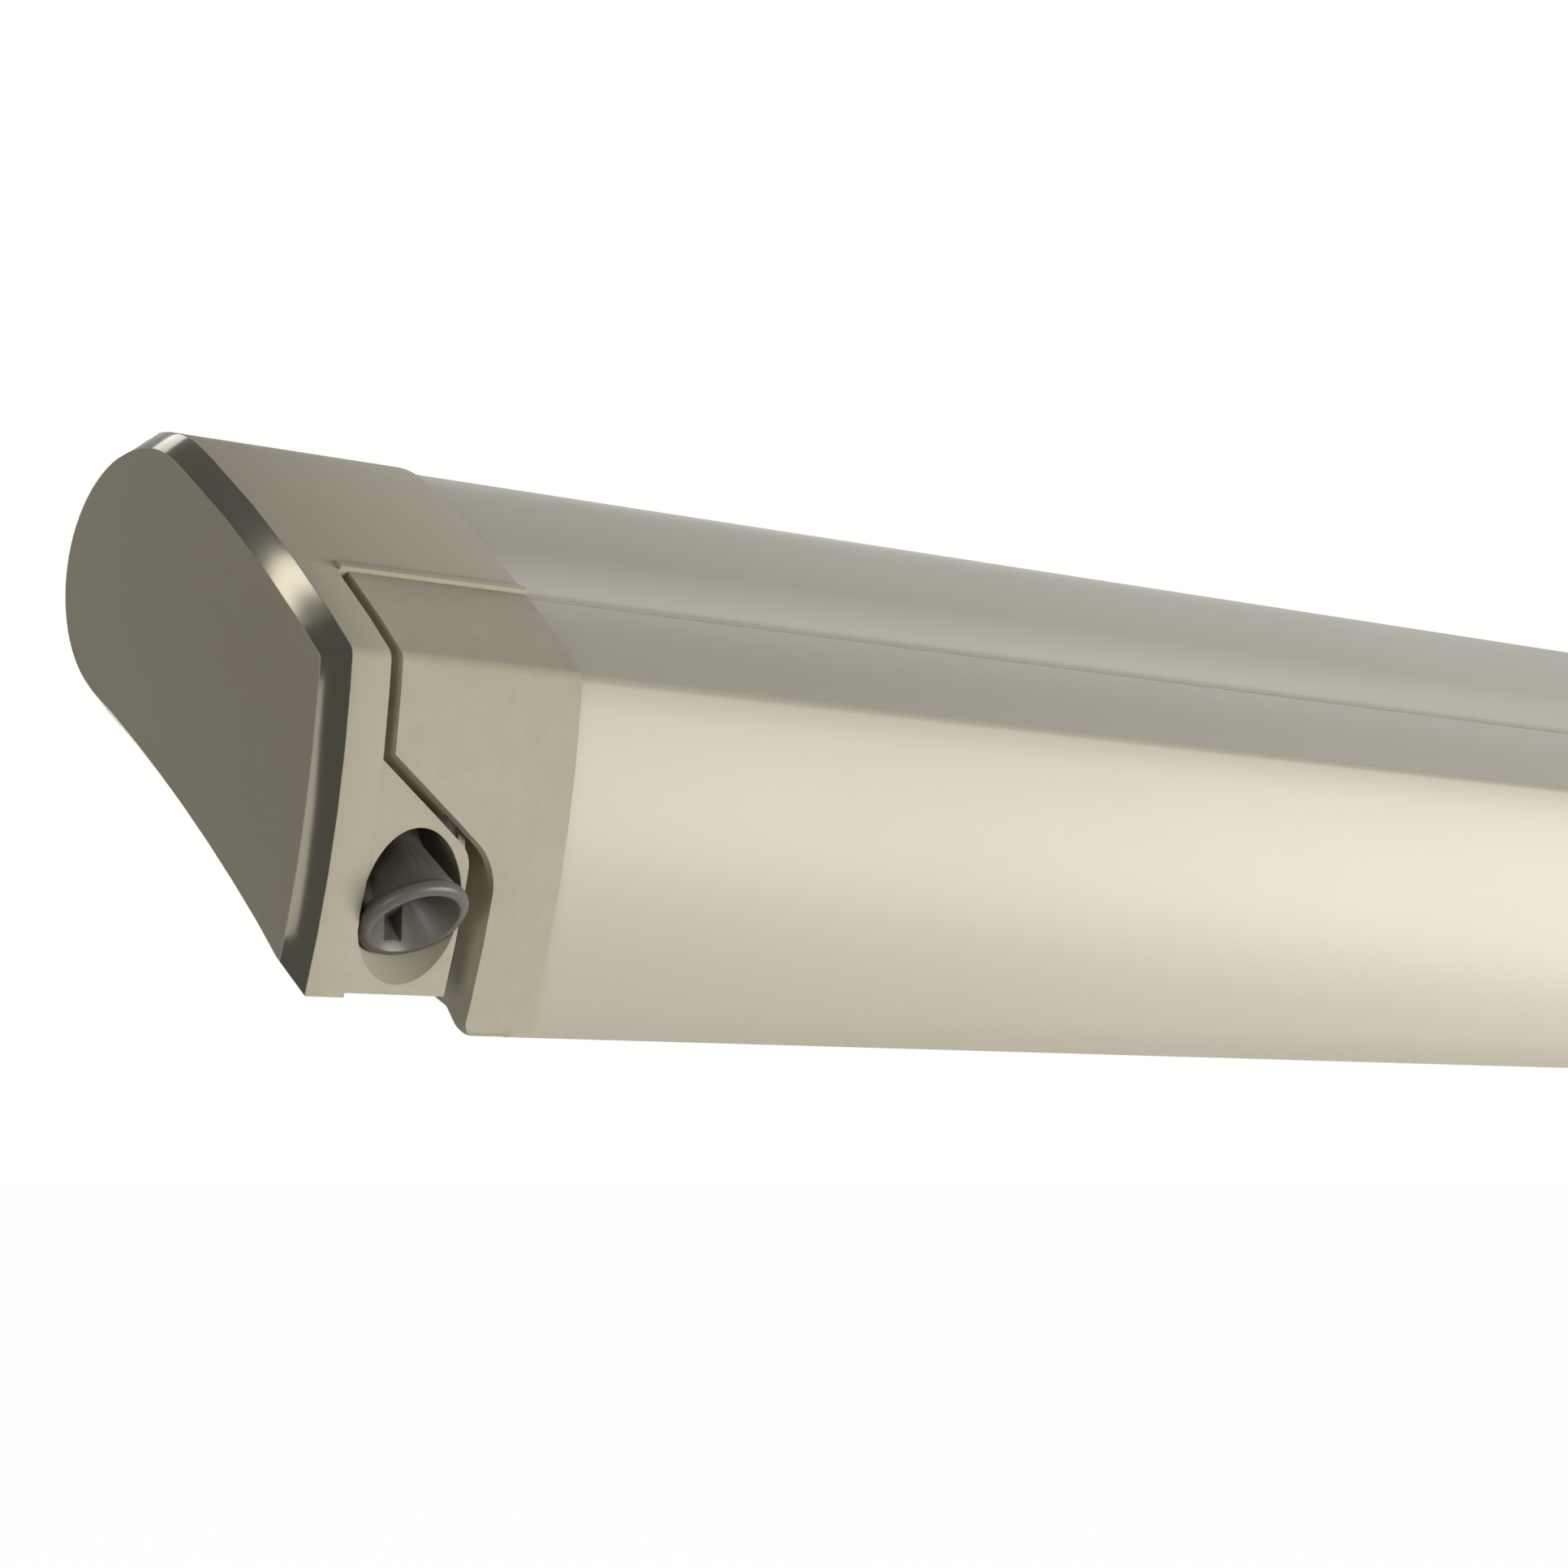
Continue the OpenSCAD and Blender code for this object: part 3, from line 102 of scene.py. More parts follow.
class Board:
    """A node tree with short calls that place nodes and join them."""

    def __init__(self, tree: bpy.types.NodeTree) -> None:
        """Take the tree to work on and start at its left side."""
        self.tree = tree
        self.column = 0

    def add(self, kind: str, **values: Any) -> bpy.types.Node:
        """Place a node.

        Args:
            kind: Blender's name of the node type.
            **values: Properties of the node, or values of its inputs by name
                with spaces written as underscores.

        Returns:
            The new node.
        """
        node = self.tree.nodes.new(kind)
        node.location = (self.column * 180, -200 * (self.column % 3))
        self.column += 1
        for name, value in values.items():
            if hasattr(node, name):
                setattr(node, name, value)
            else:
                node.inputs[name.replace("_", " ")].default_value = value
        return node

    def join(self, source: bpy.types.NodeSocket, target: bpy.types.NodeSocket) -> None:
        """Join an output to an input."""
        self.tree.links.new(source, target)

    def sums(self, operation: str, *terms: Any, clamp: bool = False) -> bpy.types.NodeSocket:
        """Work out a value from numbers and outputs.

        Args:
            operation: Blender's name of the sum, such as MULTIPLY.
            *terms: One to three numbers or outputs.
            clamp: Whether the result is kept between 0 and 1.

        Returns:
            The output with the result.
        """
        node = self.add("ShaderNodeMath", operation=operation, use_clamp=clamp)
        for place, term in enumerate(terms):
            if isinstance(term, (int, float)):
                node.inputs[place].default_value = term
            else:
                self.join(term, node.inputs[place])
        return node.outputs[0]

    def blend(self, share: Any, first: Any, second: Any) -> bpy.types.NodeSocket:
        """Mix two colours.

        Args:
            share: How much of the second colour shows, a number or an output.
            first: A linear colour or an output.
            second: A linear colour or an output.

        Returns:
            The output with the mixed colour.
        """
        node = self.add("ShaderNodeMix", data_type="RGBA")
        sockets = {s.identifier: s for s in node.inputs}
        for name, term in (("Factor_Float", share), ("A_Color", first), ("B_Color", second)):
            if isinstance(term, bpy.types.NodeSocket):
                self.join(term, sockets[name])
            else:
                sockets[name].default_value = term
        return next(s for s in node.outputs if s.identifier == "Result_Color")

    def seen(self, path: bpy.types.Node) -> bpy.types.NodeSocket:
        """Tell the rays that the camera or a gloss sends from those that only light the scene.

        Args:
            path: A Light Path node.

        Returns:
            The output that is 1 for such a ray, and else 0.
        """
        return self.sums("MAXIMUM", path.outputs["Is Camera Ray"], path.outputs["Is Glossy Ray"])


class Effects:
    """Builds each shared effect once as a node group, and hands it out."""

    def __init__(self) -> None:
        """Build the groups."""
        self.grain = self._grain()
        self.wear = self._wear()
        self.dust = self._dust()
        self.weave = self._weave()

    @staticmethod
    def _group(name: str, inputs: Iterable[tuple[str, str, Any]],
               outputs: Iterable[tuple[str, str]]) -> tuple:
        """Start a node group with named sockets.

        Args:
            name: Name of the group.
            inputs: Name, socket type and first value of each input.
            outputs: Name and socket type of each output.

        Returns:
            The group, a board on it, its input node and its output node.
        """
        group = bpy.data.node_groups.new(name, "ShaderNodeTree")
        for label, kind, value in inputs:
            socket = group.interface.new_socket(name=label, in_out="INPUT", socket_type=kind)
            if value is not None:
                socket.default_value = value
        for label, kind in outputs:
            group.interface.new_socket(name=label, in_out="OUTPUT", socket_type=kind)
        board = Board(group)
        return group, board, board.add("NodeGroupInput"), board.add("NodeGroupOutput")

    def _grain(self) -> bpy.types.NodeTree:
        """Build the fine grain of moulded, cast and coated surfaces, and their slow change of tone."""
        group, board, start, end = self._group(
            "Surface grain",
            [("Vector", "NodeSocketVector", None), ("Scale", "NodeSocketFloat", 900.0),
             ("Stretch", "NodeSocketFloat", 1.0)],
            [("Height", "NodeSocketFloat"), ("Mottle", "NodeSocketFloat")])
        along = board.add("ShaderNodeCombineXYZ", X=1.0, Y=1.0, Z=1.0)
        board.join(start.outputs["Stretch"], along.inputs["X"])
        stretched = board.add("ShaderNodeVectorMath", operation="MULTIPLY")
        board.join(start.outputs["Vector"], stretched.inputs[0])
        board.join(along.outputs[0], stretched.inputs[1])
        fine = board.add("ShaderNodeTexNoise", Detail=3.0, Roughness=0.6)
        slow = board.add("ShaderNodeTexNoise", Scale=9.0, Detail=4.0, Roughness=0.55)
        board.join(stretched.outputs[0], fine.inputs["Vector"])
        board.join(start.outputs["Scale"], fine.inputs["Scale"])
        board.join(stretched.outputs[0], slow.inputs["Vector"])
        board.join(fine.outputs["Fac"], end.inputs["Height"])
        board.join(slow.outputs["Fac"], end.inputs["Mottle"])
        return group

    def _wear(self) -> bpy.types.NodeTree:
        """Build the mask of rubbed edges: sharp corners, broken up by noise."""
        group, board, start, end = self._group(
            "Edge wear",
            [("Vector", "NodeSocketVector", None), ("Amount", "NodeSocketFloat", 0.5)],
            [("Mask", "NodeSocketFloat")])
        shape = board.add("ShaderNodeNewGeometry")
        corner = board.add("ShaderNodeMapRange", From_Min=0.52, From_Max=0.62)
        board.join(shape.outputs["Pointiness"], corner.inputs["Value"])
        rubbed = board.add("ShaderNodeTexNoise", Scale=140.0, Detail=5.0, Roughness=0.7)
        board.join(start.outputs["Vector"], rubbed.inputs["Vector"])
        broken = board.add("ShaderNodeMapRange", From_Min=0.42, From_Max=0.62)
        board.join(rubbed.outputs["Fac"], broken.inputs["Value"])
        both = board.sums("MULTIPLY", corner.outputs[0], broken.outputs[0])
        board.join(board.sums("MULTIPLY", both, start.outputs["Amount"], clamp=True), end.inputs["Mask"])
        return group

    def _dust(self) -> bpy.types.NodeTree:
        """Build the mask of dust that lies on surfaces that look up."""
        group, board, start, end = self._group(
            "Settled dust",
            [("Vector", "NodeSocketVector", None), ("Amount", "NodeSocketFloat", 0.3)],
            [("Mask", "NodeSocketFloat")])
        shape = board.add("ShaderNodeNewGeometry")
        split = board.add("ShaderNodeSeparateXYZ")
        board.join(shape.outputs["Normal"], split.inputs[0])
        level = board.add("ShaderNodeMapRange", From_Min=0.3, From_Max=1.0)
        board.join(split.outputs["Z"], level.inputs["Value"])
        spots = board.add("ShaderNodeTexNoise", Scale=60.0, Detail=6.0, Roughness=0.65)
        board.join(start.outputs["Vector"], spots.inputs["Vector"])
        both = board.sums("MULTIPLY", level.outputs[0], spots.outputs["Fac"])
        board.join(board.sums("MULTIPLY", both, start.outputs["Amount"], clamp=True), end.inputs["Mask"])
        return group

    def _weave(self) -> bpy.types.NodeTree:
        """Build a plain weave: warp and weft threads that pass over and under each other."""
        group, board, start, end = self._group(
            "Plain weave",
            [("Vector", "NodeSocketVector", None), ("Threads", "NodeSocketFloat", 1400.0)],
            [("Height", "NodeSocketFloat"), ("Tone", "NodeSocketFloat")])
        scaled = board.add("ShaderNodeVectorMath", operation="SCALE")
        board.join(start.outputs["Vector"], scaled.inputs[0])
        board.join(start.outputs["Threads"], scaled.inputs["Scale"])
        split = board.add("ShaderNodeSeparateXYZ")
        board.join(scaled.outputs[0], split.inputs[0])
        across, down = split.outputs["X"], split.outputs["Y"]
        warp = board.sums("ABSOLUTE", board.sums("SINE", board.sums("MULTIPLY", across, math.pi)))
        weft = board.sums("ABSOLUTE", board.sums("SINE", board.sums("MULTIPLY", down, math.pi)))
        places = board.sums("ADD", board.sums("FLOOR", across), board.sums("FLOOR", down))
        over = board.sums("PINGPONG", places, 1.0)
        upper = board.sums("MULTIPLY", warp, over)
        lower = board.sums("MULTIPLY", weft, board.sums("SUBTRACT", 1.0, over))
        board.join(board.sums("ADD", upper, lower), end.inputs["Height"])
        board.join(over, end.inputs["Tone"])
        return group


@dataclass(frozen=True)
class Finish:
    """A surface finish with grain, slow mottling, rubbed edges and dust.

    The colours are written as 0 to 255. grain is in repeats a metre, depth is the height of the
    grain in metres, and stretch below 1 draws the grain out along the awning.
    """

    name: str
    colour: Colour
    second: Colour
    roughness: float
    metallic: float = 0.0
    grain: float = 900.0
    depth: float = 0.00003
    stretch: float = 1.0
    coat: float = 0.0
    coat_roughness: float = 0.2
    specular: float = 0.5
    wear: float = 0.0
    rubbed: Colour = (200, 200, 198)
    dust: float = 0.0
    dirt: Colour = (176, 168, 150)

    # Least and greatest roughness over the surface, as shares of the finish's own
    SMOOTHEST = 0.9
    ROUGHEST = 1.12

    def build(self, effects: Effects) -> bpy.types.Material:
        """Make the material.

        Args:
            effects: The shared node groups.

        Returns:
            The finished material.
        """
        material = bpy.data.materials.new(self.name)
        material.use_nodes = True
        material.diffuse_color = linear(self.colour)
        board = Board(material.node_tree)
        shader = material.node_tree.nodes["Principled BSDF"]
        shader.inputs["Metallic"].default_value = self.metallic
        shader.inputs["Specular IOR Level"].default_value = self.specular
        shader.inputs["Coat Weight"].default_value = self.coat
        shader.inputs["Coat Roughness"].default_value = self.coat_roughness
        place = board.add("ShaderNodeTexCoord").outputs["Object"]
        self.dress(board, shader, place, effects)
        return material

    def group(self, board: Board, tree: bpy.types.NodeTree, place: Any, **values: float) -> bpy.types.Node:
        """Place a shared effect in the material.

        Args:
            board: The material's board.
            tree: The effect's node group.
            place: Output with the coordinates that the effect reads.
            **values: The group's own inputs.

        Returns:
            The group node.
        """
        node = board.add("ShaderNodeGroup", node_tree=tree)
        board.join(place, node.inputs["Vector"])
        for name, value in values.items():
            node.inputs[name].default_value = value
        return node

    def dress(self, board: Board, shader: Any, place: Any, effects: Effects) -> None:
        """Join grain, mottling, wear and dust to the shader.

        Args:
            board: The material's board.
            shader: The Principled BSDF.
            place: Output with the surface's own coordinates.
            effects: The shared node groups.
        """
        grain = self.group(board, effects.grain, place, Scale=self.grain, Stretch=self.stretch)
        tone = board.blend(grain.outputs["Mottle"], linear(self.colour), linear(self.second))
        if self.wear:
            wear = self.group(board, effects.wear, place, Amount=self.wear)
            tone = board.blend(wear.outputs["Mask"], tone, linear(self.rubbed))
        if self.dust:
            dust = self.group(board, effects.dust, place, Amount=self.dust)
            tone = board.blend(dust.outputs["Mask"], tone, linear(self.dirt))
        board.join(tone, shader.inputs["Base Color"])
        spread = board.add("ShaderNodeMapRange", To_Min=self.roughness * self.SMOOTHEST,
                           To_Max=min(self.roughness * self.ROUGHEST, 1.0))
        board.join(grain.outputs["Mottle"], spread.inputs["Value"])
        board.join(spread.outputs[0], shader.inputs["Roughness"])
        bump = board.add("ShaderNodeBump", Strength=0.6, Distance=self.depth)
        board.join(grain.outputs["Height"], bump.inputs["Height"])
        board.join(bump.outputs[0], shader.inputs["Normal"])


@dataclass(frozen=True)
class CapFinish(Finish):
    """The end caps' grained plastic, with the satin metallic coat on the chamfer round the end face."""

    half_length: float = 1.3
    chamfer: float = 0.007
    inner_margin: float = 0.00015
    outer_margin: float = 0.0002
    trim: Colour = (72, 69, 61)
    trim_roughness: float = 0.12
    trim_metallic: float = 0.85

    def dress(self, board: Board, shader: Any, place: Any, effects: Effects) -> None:
        """Add the chamfer's coat, a band measured from the end face, to the plastic.

        Args:
            board: The material's board.
            shader: The Principled BSDF.
            place: Output with the surface's own coordinates.
            effects: The shared node groups.
        """
        super().dress(board, shader, place, effects)
        split = board.add("ShaderNodeSeparateXYZ")
        board.join(place, split.inputs[0])
        out = board.sums("ABSOLUTE", split.outputs["X"])
        inner = board.sums("GREATER_THAN", out, self.half_length - self.chamfer + self.inner_margin)
        outer = board.sums("LESS_THAN", out, self.half_length - self.outer_margin)
        band = board.sums("MULTIPLY", inner, outer)
        plain = shader.inputs["Base Color"].links[0].from_socket
        rough = shader.inputs["Roughness"].links[0].from_socket
        beside = board.sums("SUBTRACT", 1.0, band)
        board.join(board.blend(band, plain, linear(self.trim)), shader.inputs["Base Color"])
        board.join(board.sums("MULTIPLY", band, self.trim_metallic), shader.inputs["Metallic"])
        share = board.sums("MULTIPLY", beside, rough)
        board.join(board.sums("MULTIPLY_ADD", band, self.trim_roughness, share), shader.inputs["Roughness"])
        bump = shader.inputs["Normal"].links[0].from_node
        height = bump.inputs["Height"].links[0].from_socket
        board.join(board.sums("MULTIPLY", height, beside), bump.inputs["Height"])


@dataclass(frozen=True)
class ClothFinish(Finish):
    """Woven awning cloth, whose threads follow the piece's own UV map in metres."""

    threads: float = 1400.0
    sheen: float = 0.15
    thread_contrast: float = 0.35
    mottle_contrast: float = 0.6

    def dress(self, board: Board, shader: Any, place: Any, effects: Effects) -> None:
        """Join the weave and a slow change of tone to the shader.

        Args:
            board: The material's board.
            shader: The Principled BSDF.
            place: Output with the surface's own coordinates.
            effects: The shared node groups.
        """
        shader.inputs["Sheen Weight"].default_value = self.sheen
        shader.inputs["Roughness"].default_value = self.roughness
        chart = board.add("ShaderNodeUVMap", uv_map="cloth")
        weave = self.group(board, effects.weave, chart.outputs[0], Threads=self.threads)
        grain = self.group(board, effects.grain, place, Scale=self.grain, Stretch=self.stretch)
        share = board.sums("MULTIPLY_ADD", weave.outputs["Tone"], self.thread_contrast,
                           board.sums("MULTIPLY", grain.outputs["Mottle"], self.mottle_contrast))
        board.join(board.blend(share, linear(self.colour), linear(self.second)), shader.inputs["Base Color"])
        bump = board.add("ShaderNodeBump", Strength=0.5, Distance=self.depth)
        board.join(weave.outputs["Height"], bump.inputs["Height"])
        board.join(bump.outputs[0], shader.inputs["Normal"])


class Finishes:
    """Every finish of the awning, under the name of the record's material slot."""

    PAINT = Finish("Cream powder coat", (178, 171, 154), (175, 168, 151), 0.46, grain=1500, depth=0.000008,
                   stretch=0.5, coat=0.4, coat_roughness=0.24, wear=0.2, rubbed=(190, 184, 170), dust=0.04)
    PLASTIC = CapFinish("Grained cap plastic", (174, 168, 150), (170, 164, 146), 0.52, grain=1700,
                        depth=0.00005, specular=0.12, wear=0.15, rubbed=(200, 193, 178), dust=0.04)
    CAST = Finish("Cast alloy", (176, 177, 178), (158, 159, 160), 0.5, metallic=0.9, grain=700, depth=0.00006,
                  wear=0.5, rubbed=(222, 222, 220), dust=0.2)
    DARK_CAST = Finish("Coated casting", (52, 50, 46), (44, 43, 40), 0.45, grain=900, depth=0.00005,
                       wear=0.6, rubbed=(132, 130, 124), dust=0.2)
    STEEL = Finish("Zinc plated steel", (190, 190, 186), (170, 170, 164), 0.3, metallic=1.0, grain=1200,
                   depth=0.00001, wear=0.3, rubbed=(226, 226, 224))
    BRONZE = Finish("Worm wheel bronze", (196, 150, 84), (176, 130, 70), 0.32, metallic=1.0, grain=800,
                    depth=0.00002, wear=0.4, rubbed=(228, 190, 130))
    ALLOY = Finish("Anodised alloy", (196, 197, 197), (184, 185, 186), 0.34, metallic=1.0, grain=1600,
                   depth=0.00001, stretch=0.02, wear=0.2, rubbed=(224, 224, 224))
    RUBBER = Finish("Black rubber", (34, 34, 33), (26, 26, 26), 0.7, grain=1300, depth=0.00004, dust=0.25)
    DARK_PLASTIC = Finish("Dark grey plastic", (88, 84, 76), (80, 77, 70), 0.36, grain=1500, depth=0.00003,
                          wear=0.5, rubbed=(120, 117, 110), dust=0.15)
    CLOTH = ClothFinish("Awning cloth", (168, 171, 173), (142, 146, 150), 0.82, depth=0.0002)
    SLOTS = {"cream_paint": PAINT, "cap_plastic": PLASTIC, "cast_alloy": CAST, "cast_dark": DARK_CAST,
             "steel": STEEL, "bronze": BRONZE, "bare_alloy": ALLOY, "cloth": CLOTH, "rubber": RUBBER,
             "dark_plastic": DARK_PLASTIC}

    def __init__(self) -> None:
        """Build the shared effects and, from them, one material for each slot."""
        effects = Effects()
        self.materials = {slot: finish.build(effects) for slot, finish in self.SLOTS.items()}

    def put(self, piece: bpy.types.Object, slot: str) -> None:
        """Give a piece its material.

        Args:
            piece: The piece or CAD node.
            slot: Name of the record's material slot.
        """
        slots = piece.material_slots
        if slots:
            for place in slots:
                place.material = self.materials[slot]
        else:
            piece.data.materials.append(self.materials[slot])


@dataclass
class HardParts:
    """The rigid CAD nodes: each keeps its shape, and gets its finish, rounded edges and smooth shading."""

    nodes: dict[str, bpy.types.Object]
    slots: dict[str, str]
    finishes: Finishes
    soft: tuple[str, ...] = ("fabric_roll", "fabric_run", "fabric_hem")
    sharp_angle: float = math.radians(24)
    flat_angle: float = math.radians(0.4)
    join_distance: float = 0.000002

    # Rounding of the nodes whose names start like this; the others keep their edges
    EDGES = {"end_cap": Edge.MOULDED, "rail_cap": Edge.MOULDED, "crank_eye": Edge.MOULDED,
             "lead_rail": Edge.FINE, "housing_profile": Edge.FINE, "shoulder_bracket": Edge.CAST,
             "wrist_bracket": Edge.CAST, "clamp_lever": Edge.MOULDED, "leg_foot": Edge.MOULDED,
             "elbow_fork": Edge.CAST}

    def edge(self, name: str) -> Edge:
        """Find how a node's edges are rounded.

        Args:
            name: The node's name.

        Returns:
            The rounding for this kind of piece.
        """
        return next((edge for start, edge in self.EDGES.items() if name.startswith(start)), Edge.NONE)

    def dress(self) -> int:
        """Dress every rigid node.

        Returns:
            How many nodes were dressed.
        """
        done = 0
        for name, node in self.nodes.items():
            if name in self.soft:
                continue
            self.finishes.put(node, self.slots[name])
            self.smooth(node, self.edge(name))
            done += 1
        return done

    def smooth(self, node: bpy.types.Object, edge: Edge) -> None:
        """Join a node's loose triangles, round its edges and shade it smoothly.

        Args:
            node: The CAD node.
            edge: How its edges are rounded.
        """
        node.modifiers.new("Join triangles", "WELD").merge_threshold = self.join_distance
        if edge is not Edge.NONE:
            flat = node.modifiers.new("Flat faces", "DECIMATE")
            flat.decimate_type = "DISSOLVE"
            flat.angle_limit = self.flat_angle
            round_off = node.modifiers.new("Rounded edges", "BEVEL")
            round_off.width = edge.value
            round_off.segments = 2
            round_off.limit_method = "ANGLE"
            round_off.angle_limit = self.sharp_angle
            round_off.use_clamp_overlap = True
        split = node.modifiers.new("Sharp edges", "EDGE_SPLIT")
        split.split_angle = self.sharp_angle
        split.use_edge_sharp = False
        node.data.polygons.foreach_set("use_smooth", [True] * len(node.data.polygons))


def measured(value: float) -> float:
    """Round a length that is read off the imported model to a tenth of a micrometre."""
    return round(value, 7)


def middle(points: list[Vector]) -> Place:
    """Find the middle, in Y and Z, of the box round some points."""
    spans = [(min(p[axis] for p in points), max(p[axis] for p in points)) for axis in (1, 2)]
    return (measured(sum(spans[0]) / 2), measured(sum(spans[1]) / 2))


@dataclass(frozen=True)
class Bar:
    """A round piece that runs along the awning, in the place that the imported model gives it."""

    centre: Place
    radius: float
    half_length: float

    @classmethod
    def of(cls, node: str) -> Bar:
        """Measure a node.

        Args:
            node: Name of the CAD node.

        Returns:
            Its middle in Y and Z, its radius and half its length.
        """
        low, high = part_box(node)
        size = high - low
        return cls(middle([low, high]), measured(max(size.y, size.z) / 2), measured(size.x / 2))


@dataclass
class AwningCloth:
    """The cloth: the wound roll, the run out of the mouth, and the hem on its keder rod."""

    finishes: Finishes
    nodes: dict[str, bpy.types.Object]
    turns: int = 10
    thickness: float = 0.0004
    slack: float = 0.00015
    tube_gap: float = 0.00002
    roll_inset: float = 0.0001
    bend_length: float = 0.006
    across: int = 12
    steps: int = 40
    plain_rows: int = 8
    bend_rows: int = 120
    hem_rows: int = 4
    wrap: float = math.radians(340)
    wrap_rows: int = 20
    half_width: float = field(init=False)
    roll_axis: Place = field(init=False)
    roll_radius: float = field(init=False)
    tube_radius: float = field(init=False)
    keder: Bar = field(init=False)
    leave: Place = field(init=False)
    hem_end: Place = field(init=False)

    def __post_init__(self) -> None:
        """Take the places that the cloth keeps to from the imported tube, roll, rod and run."""
        tube, roll = Bar.of("roller_tube"), Bar.of("fabric_roll")
        self.keder = Bar.of("keder_rod")
        self.half_width = self.keder.half_length
        self.roll_axis = tube.centre
        self.roll_radius = roll.radius - self.roll_inset
        self.tube_radius = tube.radius + self.thickness / 2 + self.tube_gap
        corners_of_run = [vert.co for vert in self.nodes["fabric_run"].data.vertices]
        level = middle(corners_of_run)[1]
        self.leave = middle([corner for corner in corners_of_run if corner.z > level])
        self.hem_end = middle([corner for corner in corners_of_run if corner.z <= level])

    def strip(self, at: Place) -> tuple[bmesh.types.BMesh, list[bmesh.types.BMEdge]]:
        """Start a sheet as a row of edges across the awning.

        Args:
            at: Place of the row in Y and Z.

        Returns:
            The new mesh and the edges of its first row.
        """
        sheet = bmesh.new()
        bmesh.ops.create_grid(sheet, x_segments=1, y_segments=1, size=self.half_width)
        bmesh.ops.delete(sheet, geom=[v for v in sheet.verts if v.co.y > 0], context="VERTS")
        bmesh.ops.subdivide_edges(sheet, edges=sheet.edges[:], cuts=self.across - 1)
        for vert in sheet.verts:
            vert.co = (vert.co.x, at[0], at[1])
        return sheet, list(sheet.edges)

    @staticmethod
    def grow(sheet: bmesh.types.BMesh, row: list, change: Matrix) -> list:
        """Extrude a row of edges and move the new row.

        Args:
            sheet: The mesh.
            row: The edges to extrude.
            change: Where the new row goes, from the old one.

        Returns:
            The edges of the new row.
        """
        new = bmesh.ops.extrude_edge_only(sheet, edges=row)["geom"]
        verts = [g for g in new if isinstance(g, bmesh.types.BMVert)]
        bmesh.ops.transform(sheet, matrix=change, verts=verts)
        return [g for g in new if isinstance(g, bmesh.types.BMEdge) and all(v in verts for v in g.verts)]

    def finish(self, sheet: bmesh.types.BMesh, name: str, body: str | None) -> bpy.types.Object:
        """Turn a sheet's mesh into a piece with a UV map in metres, a thickness and its finish.

        Args:
            sheet: The mesh, whose rows were made in order.
            name: Name of the piece.
            body: The body that it rides on, or None for a piece that rides on no body.

        Returns:
            The piece.
        """
        sheet.verts.index_update()
        count = len(sheet.verts)
        for parts in (sheet.edges, sheet.faces):
            parts.sort(key=lambda part: (min(vert.index for vert in part.verts) * count
                                         + max(vert.index for vert in part.verts)))
        row = self.across + 1
        verts = sorted(sheet.verts, key=lambda v: v.index)
        way, length = {}, 0.0
        rows = [verts[i:i + row] for i in range(0, len(verts), row)]
        for place, line in enumerate(rows):
            if place:
                length += (line[0].co - rows[place - 1][0].co).length
            for vert in line:
                way[vert.index] = length
        chart = sheet.loops.layers.uv.new("cloth")
        for face in sheet.faces:
            for loop in face.loops:
                loop[chart].uv = (loop.vert.co.x, way[loop.vert.index])
            face.smooth = True
        mesh = bpy.data.meshes.new(name)
        sheet.to_mesh(mesh)
        sheet.free()
        piece = bpy.data.objects.new(name, mesh)
        bpy.context.collection.objects.link(piece)
        if body:
            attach(piece, body)
        self.finishes.put(piece, "cloth")
        thick = piece.modifiers.new("Thickness of the cloth", "SOLIDIFY")
        thick.thickness = self.thickness
        thick.offset = 0.0
        LOG.info("%s: %.2f m of cloth", name, length)
        return piece

    def wound(self) -> bpy.types.Object:
        """Wind the cloth on its roller in one spiral.

        Returns:
            The roll.
        """
        axis = Vector((0.0, *self.roll_axis))
        first = Vector((0.0, *self.leave)) - axis
        start = first.normalized() * self.roll_radius
        sheet, row = self.strip((axis.y + start.y, axis.z + start.z))
        total = self.turns * self.steps
        radius = self.roll_radius
        for _ in range(total):
            smaller = radius - (self.roll_radius - self.tube_radius) / total
            turn = Matrix.Rotation(-math.tau / self.steps, 4, "X")
            shrink = Matrix.Diagonal((1.0, smaller / radius, smaller / radius, 1.0))
            row = self.grow(sheet, row, Matrix.Translation(axis) @ turn @ shrink @ Matrix.Translation(-axis))
            radius = smaller
        roll = self.finish(sheet, "cloth_roll", "roller")
        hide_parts("fabric_roll")
        return roll

    def run(self) -> bpy.types.Object:
        """Lead the cloth from the roll through the mouth to the hem.

        Returns:
            The run.
        """
        sheet, row = self.strip(self.leave)
        way = Vector((0.0, self.hem_end[0] - self.leave[0], self.hem_end[1] - self.leave[1]))
        ahead = way.normalized()
        plain = way.length - self.bend_length
        for _ in range(self.plain_rows):
            row = self.grow(sheet, row, Matrix.Translation(ahead * plain / self.plain_rows))
        for _ in range(self.bend_rows):
            row = self.grow(sheet, row, Matrix.Translation(ahead * self.bend_length / self.bend_rows))
        run = self.finish(sheet, "cloth_run", None)
        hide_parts("fabric_run")
        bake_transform(run)
        return run

